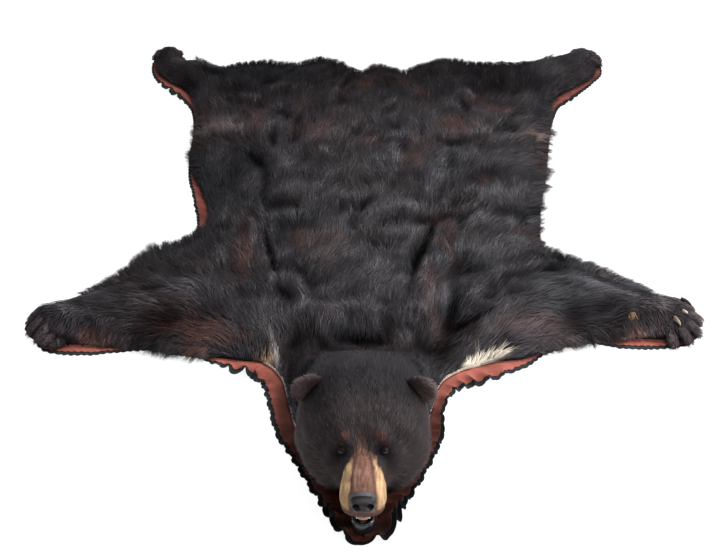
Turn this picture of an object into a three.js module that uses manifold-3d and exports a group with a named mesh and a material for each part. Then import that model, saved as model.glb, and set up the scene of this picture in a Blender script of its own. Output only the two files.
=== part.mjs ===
// A black bear rug: the pelt with its four paws laid flat, a mounted head with open jaws, and two felts
// with pinked edges under it. Millimetres, +Z up, head towards -Y, the floor at z = 0.
import * as THREE from "three";
import { mergeVertices } from "three/addons/utils/BufferGeometryUtils.js";
import Module from "manifold-3d";

const wasm = await Module();
wasm.setup();

// Driving sizes of the stack on the floor.
const FELT = 2;
const GAP = 0.3;
const RED_BASE = FELT + GAP;
const PELT_BASE = RED_BASE + FELT + GAP;

// Pinked edge of the felts: two teeth of the real 15 mm pinking are taken as one.
const PINK_PITCH = 30;
const PINK_DEPTH = 6;
const RUFFLE_LENGTH = 58;
const RED_RISE = 1.3;

// Hair of the pelt.
const PILE = 27;
const RIM = 9;
const LOCK_PITCH = 28;
const LOCK_DEPTH = 12;
const RIM_WIDTH = 55;
const GRID = 40;
const PAW_GRID = 17;
const PAW_REACH = 95;

// Where the neck of the pelt meets the back of the head.
const NECK_Y = -470;
const NECK_X = 4;
const NECK_HALF = 118;

// The cut edge of the skin, counter-clockwise from the right of the throat. hair, red and black say how
// far the hair and the two felts pass it, rim how high the hair stands there, ruffle how far the felts lift.
const SKIN = [
  { x: 139, y: -515, hair: 2, red: 34, black: 44, ruffle: 5 },
  { x: 158, y: -468, hair: 4, red: 16, black: 24, ruffle: 5 },
  { x: 184, y: -412, hair: 3, red: 18, black: 26, ruffle: 4 },
  { x: 220, y: -360, hair: 2, red: 30, black: 42, ruffle: 7 },
  { x: 262, y: -332, hair: 2, red: 42, black: 55, ruffle: 6 },
  { x: 310, y: -319, hair: 3, red: 34, black: 46, ruffle: 4 },
  { x: 365, y: -304, hair: 4, red: 16, black: 26 },
  { x: 415, y: -280, hair: 14, red: 8, black: 17 },
  { x: 470, y: -256, hair: 24 },
  { x: 535, y: -240, hair: 26, red: 14, black: 22 },
  { x: 600, y: -235, hair: 10, red: 22, black: 32 },
  { x: 660, y: -234, hair: 4, red: 24, black: 33, rim: 14 },
  { x: 706, y: -236, hair: 9, red: 20, black: 28, rim: 20 },
  { x: 749, y: -236, hair: 18, rim: 22 },
  { x: 776, y: -203, hair: 16, rim: 24 },
  { x: 779, y: -158, hair: 14, rim: 26 },
  { x: 757, y: -117, hair: 12, rim: 24 },
  { x: 712, y: -104, hair: 12, rim: 20 },
  { x: 672, y: -66, hair: 14, rim: 14 },
  { x: 610, y: -22, hair: 20 },
  { x: 545, y: 18, hair: 22 },
  { x: 488, y: 54, hair: 24 },
  { x: 450, y: 100, hair: 20 },
  { x: 446, y: 160, hair: 24 },
  { x: 456, y: 240, hair: 24 },
  { x: 470, y: 320, hair: 26 },
  { x: 488, y: 400, hair: 26 },
  { x: 504, y: 490, hair: 24 },
  { x: 520, y: 580, hair: 22 },
  { x: 534, y: 660, hair: 22 },
  { x: 548, y: 730, hair: 18, red: 16, black: 24 },
  { x: 566, y: 795, hair: 10, red: 22, black: 32 },
  { x: 604, y: 846, hair: 9, red: 32, black: 44, ruffle: 4 },
  { x: 655, y: 890, hair: 8, red: 20, black: 29 },
  { x: 702, y: 934, hair: 8, red: 12, black: 18, rim: 14 },
  { x: 729, y: 978, hair: 7, red: 15, black: 21, rim: 16 },
  { x: 738, y: 1022, hair: 10, red: 10, black: 16, rim: 18 },
  { x: 728, y: 1060, hair: 12, rim: 20 },
  { x: 695, y: 1082, hair: 12, rim: 20 },
  { x: 650, y: 1066, hair: 14, rim: 16 },
  { x: 600, y: 1040, hair: 18 },
  { x: 540, y: 1006, hair: 20 },
  { x: 470, y: 994, hair: 24 },
  { x: 350, y: 998, hair: 26 },
  { x: 262, y: 1014, hair: 28 },
  { x: 200, y: 990, hair: 24 },
  { x: 130, y: 950, hair: 22 },
  { x: 54, y: 976, hair: 28 },
  { x: 0, y: 950, hair: 20 },
  { x: -60, y: 988, hair: 26 },
  { x: -125, y: 1020, hair: 28 },
  { x: -215, y: 990, hair: 24 },
  { x: -300, y: 1003, hair: 26 },
  { x: -375, y: 994, hair: 24 },
  { x: -428, y: 972, hair: 18 },
  { x: -472, y: 988, hair: 22 },
  { x: -508, y: 1010, hair: 24 },
  { x: -545, y: 1012, hair: 18, rim: 14 },
  { x: -564, y: 1046, hair: 12, rim: 20 },
  { x: -586, y: 1082, hair: 13, rim: 20 },
  { x: -616, y: 1084, hair: 13, rim: 20 },
  { x: -638, y: 1054, hair: 11, rim: 20 },
  { x: -641, y: 1012, hair: 7, red: 10, black: 16, rim: 16 },
  { x: -622, y: 962, hair: 6, red: 14, black: 22, rim: 14 },
  { x: -588, y: 922, hair: 6, red: 22, black: 32, ruffle: 6 },
  { x: -546, y: 884, hair: 6, red: 28, black: 44, ruffle: 8 },
  { x: -512, y: 836, hair: 7, red: 24, black: 36, ruffle: 4 },
  { x: -490, y: 770, hair: 8, red: 10, black: 18 },
  { x: -478, y: 700, hair: 8, red: 8, black: 15 },
  { x: -472, y: 620, hair: 14, red: 8, black: 14 },
  { x: -468, y: 540, hair: 20 },
  { x: -463, y: 470, hair: 18 },
  { x: -452, y: 410, hair: 10, red: 14, black: 22 },
  { x: -430, y: 350, hair: 6, red: 22, black: 29, ruffle: 3 },
  { x: -410, y: 290, hair: 6, red: 30, black: 37, ruffle: 3 },
  { x: -398, y: 230, hair: 6, red: 28, black: 35 },
  { x: -404, y: 172, hair: 10, red: 22, black: 28 },
  { x: -438, y: 122, hair: 20 },
  { x: -488, y: 82, hair: 24 },
  { x: -535, y: 48, hair: 26 },
  { x: -577, y: -8, hair: 18 },
  { x: -632, y: -62, hair: 14 },
  { x: -690, y: -112, hair: 12, rim: 18 },
  { x: -732, y: -138, hair: 11, rim: 22 },
  { x: -762, y: -162, hair: 18, rim: 28 },
  { x: -774, y: -194, hair: 12, rim: 26 },
  { x: -757, y: -224, hair: 12, red: 5, black: 10, rim: 22 },
  { x: -722, y: -246, hair: 9, red: 20, black: 28, rim: 20 },
  { x: -680, y: -252, hair: 7, red: 24, black: 33, rim: 14 },
  { x: -620, y: -254, hair: 8, red: 24, black: 32 },
  { x: -555, y: -258, hair: 12, red: 18, black: 26 },
  { x: -490, y: -264, hair: 18, red: 10, black: 17 },
  { x: -430, y: -278, hair: 22 },
  { x: -365, y: -292, hair: 20, red: 8, black: 17 },
  { x: -338, y: -298, hair: 6, red: 14, black: 23 },
  { x: -308, y: -304, hair: 2, red: 16, black: 25, ruffle: 6 },
  { x: -262, y: -322, hair: 4, red: 22, black: 35, ruffle: 12 },
  { x: -222, y: -338, hair: 2, red: 28, black: 40, ruffle: 9 },
  { x: -192, y: -390, hair: 2, red: 28, black: 38, ruffle: 3 },
  { x: -166, y: -446, hair: 2, red: 34, black: 44, ruffle: 3 },
  { x: -141, y: -512, hair: 2, red: 38, black: 48, ruffle: 3 },
];

// The seam under the head, from the left of the throat round the chin, where the felts make a bib.
const BIB = [
  { x: -117, y: -556, red: 38, black: 48, ruffle: 3 },
  { x: -90, y: -606, red: 39, black: 49, ruffle: 3 },
  { x: -66, y: -654, red: 38, black: 49, ruffle: 4 },
  { x: -43, y: -700, red: 37, black: 48, ruffle: 8 },
  { x: -30, y: -742, red: 32, black: 44, ruffle: 17 },
  { x: -24, y: -776, red: 20, black: 31, ruffle: 19 },
  { x: 4, y: -806, red: 9, black: 17, ruffle: 10 },
  { x: 32, y: -776, red: 25, black: 36, ruffle: 20 },
  { x: 38, y: -742, red: 35, black: 46, ruffle: 17 },
  { x: 50, y: -700, red: 39, black: 50, ruffle: 8 },
  { x: 76, y: -650, red: 40, black: 50, ruffle: 3 },
  { x: 101, y: -600, red: 39, black: 49, ruffle: 3 },
  { x: 124, y: -550, red: 38, black: 48, ruffle: 3 },
];
const COMMON_ROW = { hair: 0, red: 12, black: 18, ruffle: 0, rim: RIM };

// Ridges and troughs of the pelt, each a stretch between two points with its width and rise.
const FOLDS = [
  { name: "left foreleg", x0: -420, y0: -95, x1: -690, y1: -185, width: 78, rise: 26 },
  { name: "right foreleg", x0: 430, y0: -90, x1: 690, y1: -160, width: 78, rise: 27 },
  { name: "left fore paw", x0: -712, y0: -192, x1: -745, y1: -196, width: 46, rise: 18 },
  { name: "right fore paw", x0: 712, y0: -168, x1: 750, y1: -180, width: 46, rise: 15 },
  { name: "left hind leg", x0: -430, y0: 900, x1: -600, y1: 1025, width: 62, rise: 20 },
  { name: "right hind leg", x0: 480, y0: 920, x1: 690, y1: 1030, width: 62, rise: 20 },
  { name: "left shoulder", x0: -130, y0: -120, x1: -300, y1: -190, width: 95, rise: 15 },
  { name: "right shoulder", x0: 160, y0: -100, x1: 330, y1: -165, width: 95, rise: 17 },
  { name: "left neck crease", x0: -150, y0: -420, x1: -185, y1: -250, width: 30, rise: -8 },
  { name: "right neck crease", x0: 165, y0: -400, x1: 200, y1: -230, width: 34, rise: -9 },
  { name: "hollow of the nape", x0: -45, y0: -246, x1: 60, y1: -250, width: 30, rise: -24 },
  { name: "fold behind the nape", x0: -120, y0: -190, x1: 130, y1: -190, width: 38, rise: 12 },
  { name: "spine", x0: 0, y0: -60, x1: 0, y1: 850, width: 80, rise: 6 },
  { name: "right flank furrow", x0: 250, y0: -170, x1: 215, y1: 330, width: 34, rise: -8 },
  { name: "left flank furrow", x0: -215, y0: 60, x1: -260, y1: 470, width: 34, rise: -7 },
  { name: "left rump fold", x0: -320, y0: 830, x1: -120, y1: 900, width: 44, rise: 8 },
  { name: "right rump fold", x0: 120, y0: 850, x1: 360, y1: 905, width: 44, rise: 7 },
  { name: "left groin", x0: -470, y0: 720, x1: -300, y1: 770, width: 36, rise: -8 },
  { name: "right groin", x0: 520, y0: 730, x1: 340, y1: 780, width: 36, rise: -8 },
];

// Paws: the knuckle, the way the toes point, the angle between toes, how far the middle toe reaches and
// how much shorter the outer ones are, and the size of toes and claws.
const PAWS = [
  { name: "left_fore", x: -700, y: -190, heading: 233, fan: -26, reach: 80, bow: 0, toe: 13, rise: 12, claw: 30 },
  { name: "right_fore", x: 715, y: -190, heading: -29, fan: 29, reach: 82, bow: 0, toe: 13, rise: 13, claw: 30 },
  { name: "left_hind", x: -596, y: 1018, heading: 108, fan: 18, reach: 86, bow: 4.5, toe: 12, rise: 10, claw: 24 },
  { name: "right_hind", x: 674, y: 1016, heading: 42, fan: 22, reach: 85, bow: 2.5, toe: 12, rise: 10, claw: 24 },
];
const CLAW_THICK = 0.155;
// Claws that do not follow the fan of the toes: two of the right fore paw lie back on top of it.
const TURNED_CLAWS = [
  { paw: "right_fore", toe: 0, turn: 8, root: 31, lift: 38 },
  { paw: "right_fore", toe: -1, turn: -53, root: 18, lift: 33 },
  { paw: "right_fore", toe: -2, turn: -84, root: 42, lift: 5 },
];
const TOES = [-2, -1, 0, 1, 2];

// Sections of the head from the neck to the lip: half width, underside, height of the widest part and top.
const HEAD = [
  { y: NECK_Y - GAP, half: 117, low: -20, mid: 78, top: 166 },
  { y: -505, half: 122, low: -20, mid: 80, top: 184 },
  { y: -545, half: 127, low: -18, mid: 82, top: 197 },
  { y: -585, half: 131, low: -16, mid: 84, top: 201 },
  { y: -620, half: 131, low: -12, mid: 84, top: 196 },
  { y: -650, half: 121, low: -6, mid: 84, top: 186 },
  { y: -676, half: 101, low: 0, mid: 86, top: 173 },
  { y: -698, half: 77, low: 10, mid: 90, top: 158 },
  { y: -716, half: 57, low: 30, mid: 92, top: 147 },
  { y: -736, half: 47, low: 54, mid: 92, top: 141 },
  { y: -760, half: 44, low: 62, mid: 92, top: 138 },
  { y: -784, half: 41, low: 66, mid: 92, top: 134 },
  { y: -800, half: 35, low: 70, mid: 92, top: 124 },
  { y: -809, half: 22, low: 77, mid: 92, top: 106 },
];
const HEAD_X = 4;
const HEAD_SIDES = 26;
const HEAD_SQUARE = 2.3;

const EYE = { x: 42, y: -702, z: 147, radius: 11 };
const EAR = { x: 113, y: -546, z: 180, radius: 41, thick: 11, cup: 12, lean: 42, swing: 24 };
const NOSE = { y: -803, z: 116, half: 26, high: 22, deep: 21 };
const NOSTRIL = { x: 12, z: 6, radius: 6.5, deep: 9 };
const JAW = { back: -724, lip: -800, half: 24, base: PELT_BASE, top: 40, floor: 22, wall: 7 };
const TONGUE = { back: -732, tip: -786, half: 14, thick: 8 };
const TEETH = { count: 6, width: 4.8, high: 12, deep: 5, y: -798, gum: 66 };

const clamp = (value, low, high) => Math.min(high, Math.max(low, value));
const smooth = (t) => t * t * (3 - 2 * t);
const degrees = Math.PI / 180;

// The whole edge with every column filled in, and finely sampled along a smooth closed curve.
const ROWS = [...SKIN, ...BIB].map((row) => ({ ...COMMON_ROW, ...row }));
const SAMPLES_PER_ROW = 12;

function sampleEdge() {
  const points = ROWS.map((row) => new THREE.Vector3(row.x, row.y, 0));
  const curve = new THREE.CatmullRomCurve3(points, true, "centripetal");
  const total = ROWS.length * SAMPLES_PER_ROW;
  const samples = [];
  let arc = 0;
  for (let i = 0; i < total; i++) {
    const place = curve.getPoint(i / total);
    const along = curve.getTangent(i / total);
    const row = Math.floor(i / SAMPLES_PER_ROW);
    const share = i / SAMPLES_PER_ROW - row;
    const next = ROWS[(row + 1) % ROWS.length];
    const mix = (key) => ROWS[row][key] * (1 - share) + next[key] * share;
    if (i) arc += Math.hypot(place.x - samples[i - 1].x, place.y - samples[i - 1].y);
    samples.push({
      x: place.x,
      y: place.y,
      outX: along.y,
      outY: -along.x,
      arc,
      row: row + share,
      hair: mix("hair"),
      red: mix("red"),
      black: mix("black"),
      ruffle: mix("ruffle"),
      rim: mix("rim"),
    });
  }
  return samples;
}

const EDGE = sampleEdge();
const PERIMETER = EDGE[EDGE.length - 1].arc + Math.hypot(EDGE[0].x - EDGE.at(-1).x, EDGE[0].y - EDGE.at(-1).y);

// The sample at a distance along the edge.
function edgeAt(arc) {
  const wrapped = ((arc % PERIMETER) + PERIMETER) % PERIMETER;
  let i = EDGE.findIndex((sample) => sample.arc > wrapped);
  if (i < 1) i = EDGE.length;
  const a = EDGE[i - 1];
  const b = EDGE[i % EDGE.length];
  const span = (i === EDGE.length ? PERIMETER : b.arc) - a.arc;
  const share = (wrapped - a.arc) / span;
  const mixed = {};
  for (const key of Object.keys(a)) mixed[key] = a[key] + (b[key] - a[key]) * share;
  mixed.arc = wrapped;
  return mixed;
}

const passing = (at, distance) => [at.x + at.outX * distance, at.y + at.outY * distance];

function meshOf(name, geometry, color, roughness) {
  const mesh = new THREE.Mesh(geometry, new THREE.MeshStandardMaterial({ color, roughness, metalness: 0 }));
  mesh.name = name;
  return mesh;
}

function geometryOf(vertices, triangles) {
  const geometry = new THREE.BufferGeometry();
  geometry.setAttribute("position", new THREE.Float32BufferAttribute(vertices.flat(), 3));
  geometry.setIndex(triangles.flat());
  return geometry;
}

// A closed geometry as a solid for cutting, and back.
function solidOf(geometry) {
  const bare = geometry.clone();
  bare.deleteAttribute("normal");
  bare.deleteAttribute("uv");
  const merged = mergeVertices(bare, 1e-3);
  return new wasm.Manifold(
    new wasm.Mesh({
      numProp: 3,
      vertProperties: new Float32Array(merged.attributes.position.array),
      triVerts: new Uint32Array(merged.index.array),
    }),
  );
}

function geometryOfSolid(solid) {
  const made = solid.getMesh();
  const geometry = new THREE.BufferGeometry();
  geometry.setAttribute("position", new THREE.BufferAttribute(new Float32Array(made.vertProperties), 3));
  geometry.setIndex(new THREE.BufferAttribute(new Uint32Array(made.triVerts), 1));
  return geometry;
}

// A felt sheet with a pinked edge. Inside the seam it is flat. Past the seam it lifts in soft ruffles.
function feltGeometry(base, reachKey, rise, firstTooth) {
  const teeth = Math.round(PERIMETER / PINK_PITCH);
  const count = teeth * 2;
  const outer = [];
  const inner = [];
  const kept = [];
  const slopes = [];
  for (let i = 0; i < count; i++) {
    const at = edgeAt((i / count) * PERIMETER);
    const tooth = (i + firstTooth) % 2 ? PINK_DEPTH : 0;
    const reach = at[reachKey] - tooth;
    const ruffled = at.ruffle > 0.05;
    const start = ruffled ? Math.min(at.hair * 1.3 + 3, at.red - PINK_DEPTH - 3) : -4;
    const wave = 0.5 - 0.5 * Math.cos((2 * Math.PI * at.arc) / RUFFLE_LENGTH);
    slopes.push(ruffled ? (at.ruffle * wave * rise) / (at.black - start) : 0);
    outer.push([...passing(at, reach), slopes[i] * (reach - start)]);
    if (ruffled || i % 4 === 0) {
      inner.push([...passing(at, start), 0]);
      kept.push(i);
    }
  }
  const loop = inner.map(([x, y]) => new THREE.Vector2(x, y));
  const cap = THREE.ShapeUtils.triangulateShape(loop, []);
  const strip = [];
  kept.forEach((first, k) => {
    const next = (k + 1) % kept.length;
    const last = next ? kept[next] : count;
    const from = count + k;
    const to = count + next;
    const rising = slopes[first] < slopes[last % count];
    for (let j = first; j < last; j++) strip.push([rising ? to : from, j, (j + 1) % count]);
    strip.push([from, rising ? first : last % count, to]);
  });
  const plan = [...strip, ...cap.map((tri) => tri.map((v) => v + count))];
  const skin = [...outer, ...inner];
  const layer = skin.length;
  const vertices = [
    ...skin.map(([x, y, z]) => [x, y, base + z]),
    ...skin.map(([x, y, z]) => [x, y, base + z + FELT]),
  ];
  const triangles = [
    ...plan.map(([a, b, c]) => [a, c, b]),
    ...plan.map(([a, b, c]) => [a + layer, b + layer, c + layer]),
  ];
  for (let i = 0; i < count; i++) {
    const next = (i + 1) % count;
    triangles.push([i, next, next + layer], [i, next + layer, i + layer]);
  }
  return geometryOf(vertices, triangles);
}

function segmentDistance(x, y, { x0, y0, x1, y1 }) {
  const dx = x1 - x0;
  const dy = y1 - y0;
  const t = clamp(((x - x0) * dx + (y - y0) * dy) / (dx * dx + dy * dy), 0, 1);
  return Math.hypot(x - x0 - t * dx, y - y0 - t * dy);
}

const toeHeading = (paw, toe) => (paw.heading + toe * paw.fan) * degrees;
const toeReach = (paw, toe) => paw.reach - paw.bow * toe * toe;

// Each toe is a short ridge that ends at the edge of the paw.
const TOE_RIDGES = PAWS.flatMap((paw) =>
  TOES.map((toe) => {
    const turn = toeHeading(paw, toe);
    const near = toeReach(paw, toe) * 0.55;
    const far = toeReach(paw, toe) * 0.95;
    return {
      x0: paw.x + near * Math.cos(turn),
      y0: paw.y + near * Math.sin(turn),
      x1: paw.x + far * Math.cos(turn),
      y1: paw.y + far * Math.sin(turn),
      width: paw.toe,
      rise: paw.rise,
    };
  }),
);

// Height of the arch of the neck over the felt, a rounded arch that sinks away from the head.
function neckArch(x, y) {
  const away = clamp((y - NECK_Y) / 215, 0, 1);
  const height = 162 * (1 - smooth(away));
  const half = NECK_HALF + 16 + 70 * away;
  const share = Math.abs(x - NECK_X) / half;
  return share >= 1 ? 0 : height * (1 - share ** 2.4) ** (1 / 2.4);
}

// Height of the top of the hair above the floor, from the distance to the rim.
function peltTop(x, y, toRim, rim) {
  const lumps = 3 * Math.sin(x / 37 + 1.3 * Math.sin(y / 61)) * Math.cos(y / 43 + 0.8 * Math.sin(x / 71));
  let pile = PILE + lumps;
  for (const fold of FOLDS) pile += fold.rise * Math.exp(-((segmentDistance(x, y, fold) / fold.width) ** 2));
  const rise = smooth(clamp(toRim / RIM_WIDTH, 0, 1));
  let body = rim + (pile - rim) * rise;
  for (const toe of TOE_RIDGES) body += toe.rise * Math.exp(-((segmentDistance(x, y, toe) / toe.width) ** 2));
  const arch = neckArch(x, y);
  return PELT_BASE + Math.hypot(body, arch);
}

// The rim of the pelt: pointed locks where the hair is long, a plain edge at the throat, and the wall
// that meets the head.
function peltRim() {
  const first = 0;
  const last = EDGE.findIndex((sample) => sample.row >= SKIN.length - 1);
  const length = EDGE[last].arc - EDGE[first].arc;
  const locks = Math.round(length / LOCK_PITCH);
  const rim = [];
  for (let i = 0; i <= locks * 2; i++) {
    const at = edgeAt(EDGE[first].arc + (length * i) / (locks * 2) - (i === locks * 2 ? 0.01 : 0));
    const uneven = 1 + 0.22 * Math.sin(i * 2.4);
    const notch = i % 2 ? 0 : Math.min(LOCK_DEPTH, at.hair * 0.6);
    const [x, y] = passing(at, at.hair * uneven - notch);
    rim.push({ x, y, height: at.rim * (i % 2 ? 0.7 : 1.05) });
  }
  const wallSteps = 14;
  rim.push({ x: -127, y: -508, height: RIM });
  for (let i = 0; i <= wallSteps; i++) {
    rim.push({ x: NECK_X - NECK_HALF - 4 + ((2 * NECK_HALF + 8) * i) / wallSteps, y: NECK_Y, height: RIM });
  }
  rim.push({ x: 133, y: -508, height: RIM });
  return rim;
}

function nearestRim(rim, x, y) {
  let best = { distance: Infinity, height: RIM };
  rim.forEach((a, i) => {
    const b = rim[(i + 1) % rim.length];
    const distance = segmentDistance(x, y, { x0: a.x, y0: a.y, x1: b.x, y1: b.y });
    if (distance < best.distance) best = { distance, height: (a.height + b.height) / 2 };
  });
  return best;
}

function insidePlan(rim, x, y) {
  let inside = false;
  rim.forEach((a, i) => {
    const b = rim[(i + 1) % rim.length];
    if (a.y > y !== b.y > y && x < ((b.x - a.x) * (y - a.y)) / (b.y - a.y) + a.x) inside = !inside;
  });
  return inside;
}

// Points inside the rim: a hexagonal grid, closer on the paws and along the toes.
function innerPoints(rim) {
  const points = [];
  const addGrid = (step, keep) => {
    for (let row = -40; row * step * 0.866 < 1200; row++) {
      for (let column = -60; column * step < 900; column++) {
        const x = (column + (row % 2 ? 0.5 : 0)) * step;
        const y = row * step * 0.866;
        if (x < -900 || y < -900 || !keep(x, y) || !insidePlan(rim, x, y)) continue;
        const { distance } = nearestRim(rim, x, y);
        if (distance > step * 0.62) points.push({ x, y, distance });
      }
    }
  };
  const onPaw = (x, y) => PAWS.some((paw) => Math.hypot(x - paw.x, y - paw.y) < PAW_REACH);
  addGrid(GRID, (x, y) => !onPaw(x, y));
  addGrid(PAW_GRID, onPaw);
  return points;
}

// Delaunay triangles of points in the plan, made by adding the points one by one.
function delaunay(points) {
  const far = 1e5;
  const all = [...points, { x: -far, y: -far }, { x: far, y: -far }, { x: 0, y: far }];
  const n = points.length;
  const circle = (a, b, c) => {
    const [p, q, r] = [all[a], all[b], all[c]];
    const d = 2 * (p.x * (q.y - r.y) + q.x * (r.y - p.y) + r.x * (p.y - q.y));
    const [pp, qq, rr] = [p, q, r].map((v) => v.x * v.x + v.y * v.y);
    const x = (pp * (q.y - r.y) + qq * (r.y - p.y) + rr * (p.y - q.y)) / d;
    const y = (pp * (r.x - q.x) + qq * (p.x - r.x) + rr * (q.x - p.x)) / d;
    return { a, b, c, x, y, reach: (p.x - x) ** 2 + (p.y - y) ** 2 };
  };
  let triangles = [circle(n, n + 1, n + 2)];
  for (let i = 0; i < n; i++) {
    const { x, y } = all[i];
    const open = new Map();
    const kept = [];
    for (const tri of triangles) {
      if ((tri.x - x) ** 2 + (tri.y - y) ** 2 >= tri.reach) {
        kept.push(tri);
        continue;
      }
      for (const [from, to] of [[tri.a, tri.b], [tri.b, tri.c], [tri.c, tri.a]]) {
        if (!open.delete(`${to},${from}`)) open.set(`${from},${to}`, [from, to]);
      }
    }
    triangles = [...kept, ...[...open.values()].map(([from, to]) => circle(from, to, i))];
  }
  return triangles.filter((tri) => Math.max(tri.a, tri.b, tri.c) < n).map(({ a, b, c }) => [a, b, c]);
}

// The pelt as a lumpy slab: relief on top, flat below, locks round the rim.
function peltGeometry() {
  const rim = peltRim();
  const inner = innerPoints(rim);
  const plan = [...rim, ...inner];
  const turned = 0.01;
  const spread = plan.map(({ x, y }) => ({ x: x + turned * Math.sin(y), y: y + turned * Math.sin(x * 1.7) }));
  const inPlan = ([a, b, c]) => {
    const x = (plan[a].x + plan[b].x + plan[c].x) / 3;
    const y = (plan[a].y + plan[b].y + plan[c].y) / 3;
    return insidePlan(rim, x, y);
  };
  const top = delaunay(spread).filter(inPlan);
  const bottom = THREE.ShapeUtils.triangulateShape(rim.map(({ x, y }) => new THREE.Vector2(x, y)), []);
  const layer = plan.length;
  const vertices = [
    ...rim.map(({ x, y, height }) => [x, y, peltTop(x, y, 0, height)]),
    ...inner.map(({ x, y, distance }) => [x, y, peltTop(x, y, distance, nearestRim(rim, x, y).height)]),
    ...rim.map(({ x, y }) => [x, y, PELT_BASE]),
  ];
  const triangles = [...top, ...bottom.map(([a, b, c]) => [a + layer, c + layer, b + layer])];
  rim.forEach((_, i) => {
    const next = (i + 1) % rim.length;
    triangles.push([i + layer, next + layer, next], [i + layer, next, i]);
  });
  return geometryOf(vertices, triangles);
}

// A skin over rings of points, closed with a flat fan at both ends.
function loftGeometry(rings) {
  const sides = rings[0].length;
  const vertices = rings.flat();
  const triangles = [];
  for (let ring = 0; ring + 1 < rings.length; ring++) {
    for (let side = 0; side < sides; side++) {
      const next = (side + 1) % sides;
      const a = ring * sides + side;
      const b = ring * sides + next;
      triangles.push([a, b, b + sides], [a, b + sides, a + sides]);
    }
  }
  for (const [ring, turned] of [[0, true], [rings.length - 1, false]]) {
    const middle = rings[ring].reduce((sum, p) => sum.map((v, k) => v + p[k] / sides), [0, 0, 0]);
    vertices.push(middle);
    for (let side = 0; side < sides; side++) {
      const a = ring * sides + side;
      const b = ring * sides + ((side + 1) % sides);
      triangles.push(turned ? [vertices.length - 1, b, a] : [vertices.length - 1, a, b]);
    }
  }
  return geometryOf(vertices, triangles);
}

// One section of the head, a rounded square that is flat where it would reach below the felt.
function headSection(row, grow) {
  const ring = [];
  for (let side = 0; side < HEAD_SIDES; side++) {
    const turn = (2 * Math.PI * side) / HEAD_SIDES;
    const across = Math.sign(Math.cos(turn)) * Math.abs(Math.cos(turn)) ** (2 / HEAD_SQUARE);
    const up = Math.sign(Math.sin(turn)) * Math.abs(Math.sin(turn)) ** (2 / HEAD_SQUARE);
    const height = up > 0 ? row.top - row.mid : row.mid - row.low;
    ring.push([
      HEAD_X + across * (row.half + grow),
      row.y,
      Math.max(row.mid + up * (height + grow), PELT_BASE - (grow ? 1 : 0)),
    ]);
  }
  return ring;
}

const headGeometry = (grow) => loftGeometry(HEAD.map((row) => headSection(row, grow)));

function placed(geometry, x, y, z) {
  return geometry.translate(x, y, z);
}

function ball(radius, x, y, z) {
  return placed(new THREE.SphereGeometry(radius, 14, 9), x, y, z);
}

// An ear: a round flap, hollowed in front, that leans out from the head and turns a little back.
function earGeometry(side) {
  const rings = [];
  const steps = 6;
  for (let i = 0; i <= steps; i++) {
    const t = -1 + (2 * i) / steps;
    const share = Math.sqrt(Math.max(0.04, 1 - t * t));
    const ring = [];
    for (let k = 0; k < 18; k++) {
      const turn = (2 * Math.PI * k) / 18;
      const x = EAR.radius * share * Math.cos(turn);
      const z = EAR.radius * 1.08 * share * Math.sin(turn);
      const dish = (EAR.cup * (x * x + z * z)) / EAR.radius ** 2;
      ring.push([x, (EAR.thick * t) / 1.6 - dish, z]);
    }
    rings.push(ring.reverse());
  }
  const geometry = loftGeometry(rings);
  geometry.rotateY(side * EAR.lean * degrees);
  geometry.rotateZ(-side * EAR.swing * degrees);
  return placed(geometry, HEAD_X + side * EAR.x, EAR.y, EAR.z);
}

function earMesh(name, side, headCut) {
  const ear = solidOf(earGeometry(side)).subtract(headCut);
  const largest = ear.decompose().sort((a, b) => b.volume() - a.volume())[0];
  return meshOf(name, geometryOfSolid(largest), 0x1f1a1c, 0.9);
}

// The nose pad: a rounded block on the tip of the muzzle with two nostrils.
function noseSolid() {
  const rings = [];
  const steps = 6;
  for (let i = 0; i <= steps; i++) {
    const t = i / steps;
    const share = Math.sqrt(Math.max(0.06, 1 - (1.7 * t - 0.7) ** 2 * (t > 0.41 ? 1 : 0.3)));
    const ring = [];
    for (let k = 0; k < 20; k++) {
      const turn = (2 * Math.PI * k) / 20;
      const wide = 1 + 0.14 * Math.sin(turn);
      ring.push([
        HEAD_X + NOSE.half * share * wide * Math.cos(turn),
        NOSE.y + 4 - (NOSE.deep + 4) * t,
        NOSE.z + NOSE.high * share * Math.sin(turn) - 3 * t,
      ]);
    }
    rings.push(ring);
  }
  let nose = solidOf(loftGeometry(rings));
  for (const side of [-1, 1]) {
    const bore = new THREE.SphereGeometry(NOSTRIL.radius, 10, 6);
    bore.scale(0.9, NOSTRIL.deep / NOSTRIL.radius, 0.8);
    const x = HEAD_X + side * NOSTRIL.x;
    nose = nose.subtract(solidOf(placed(bore, x, NOSE.y - NOSE.deep, NOSE.z + NOSTRIL.z)));
  }
  return nose;
}

// Plan of the lower jaw: straight sides and a round lip.
function jawPlan(inset, back) {
  const half = JAW.half - inset;
  const plan = new THREE.Shape();
  const bend = JAW.lip + JAW.half;
  plan.moveTo(HEAD_X + half, back);
  plan.lineTo(HEAD_X - half, back);
  plan.lineTo(HEAD_X - half, bend);
  plan.absarc(HEAD_X, bend, half, Math.PI, 2 * Math.PI, false);
  plan.closePath();
  return plan;
}

function prism(plan, low, high, curveSegments = 10) {
  const geometry = new THREE.ExtrudeGeometry(plan, { depth: high - low, bevelEnabled: false, curveSegments });
  return placed(geometry, 0, 0, low);
}

const jawSolid = () =>
  solidOf(prism(jawPlan(0, JAW.back), JAW.base, JAW.top)).subtract(
    solidOf(prism(jawPlan(JAW.wall, JAW.back + 20), JAW.floor, JAW.top + 20)),
  );

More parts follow.
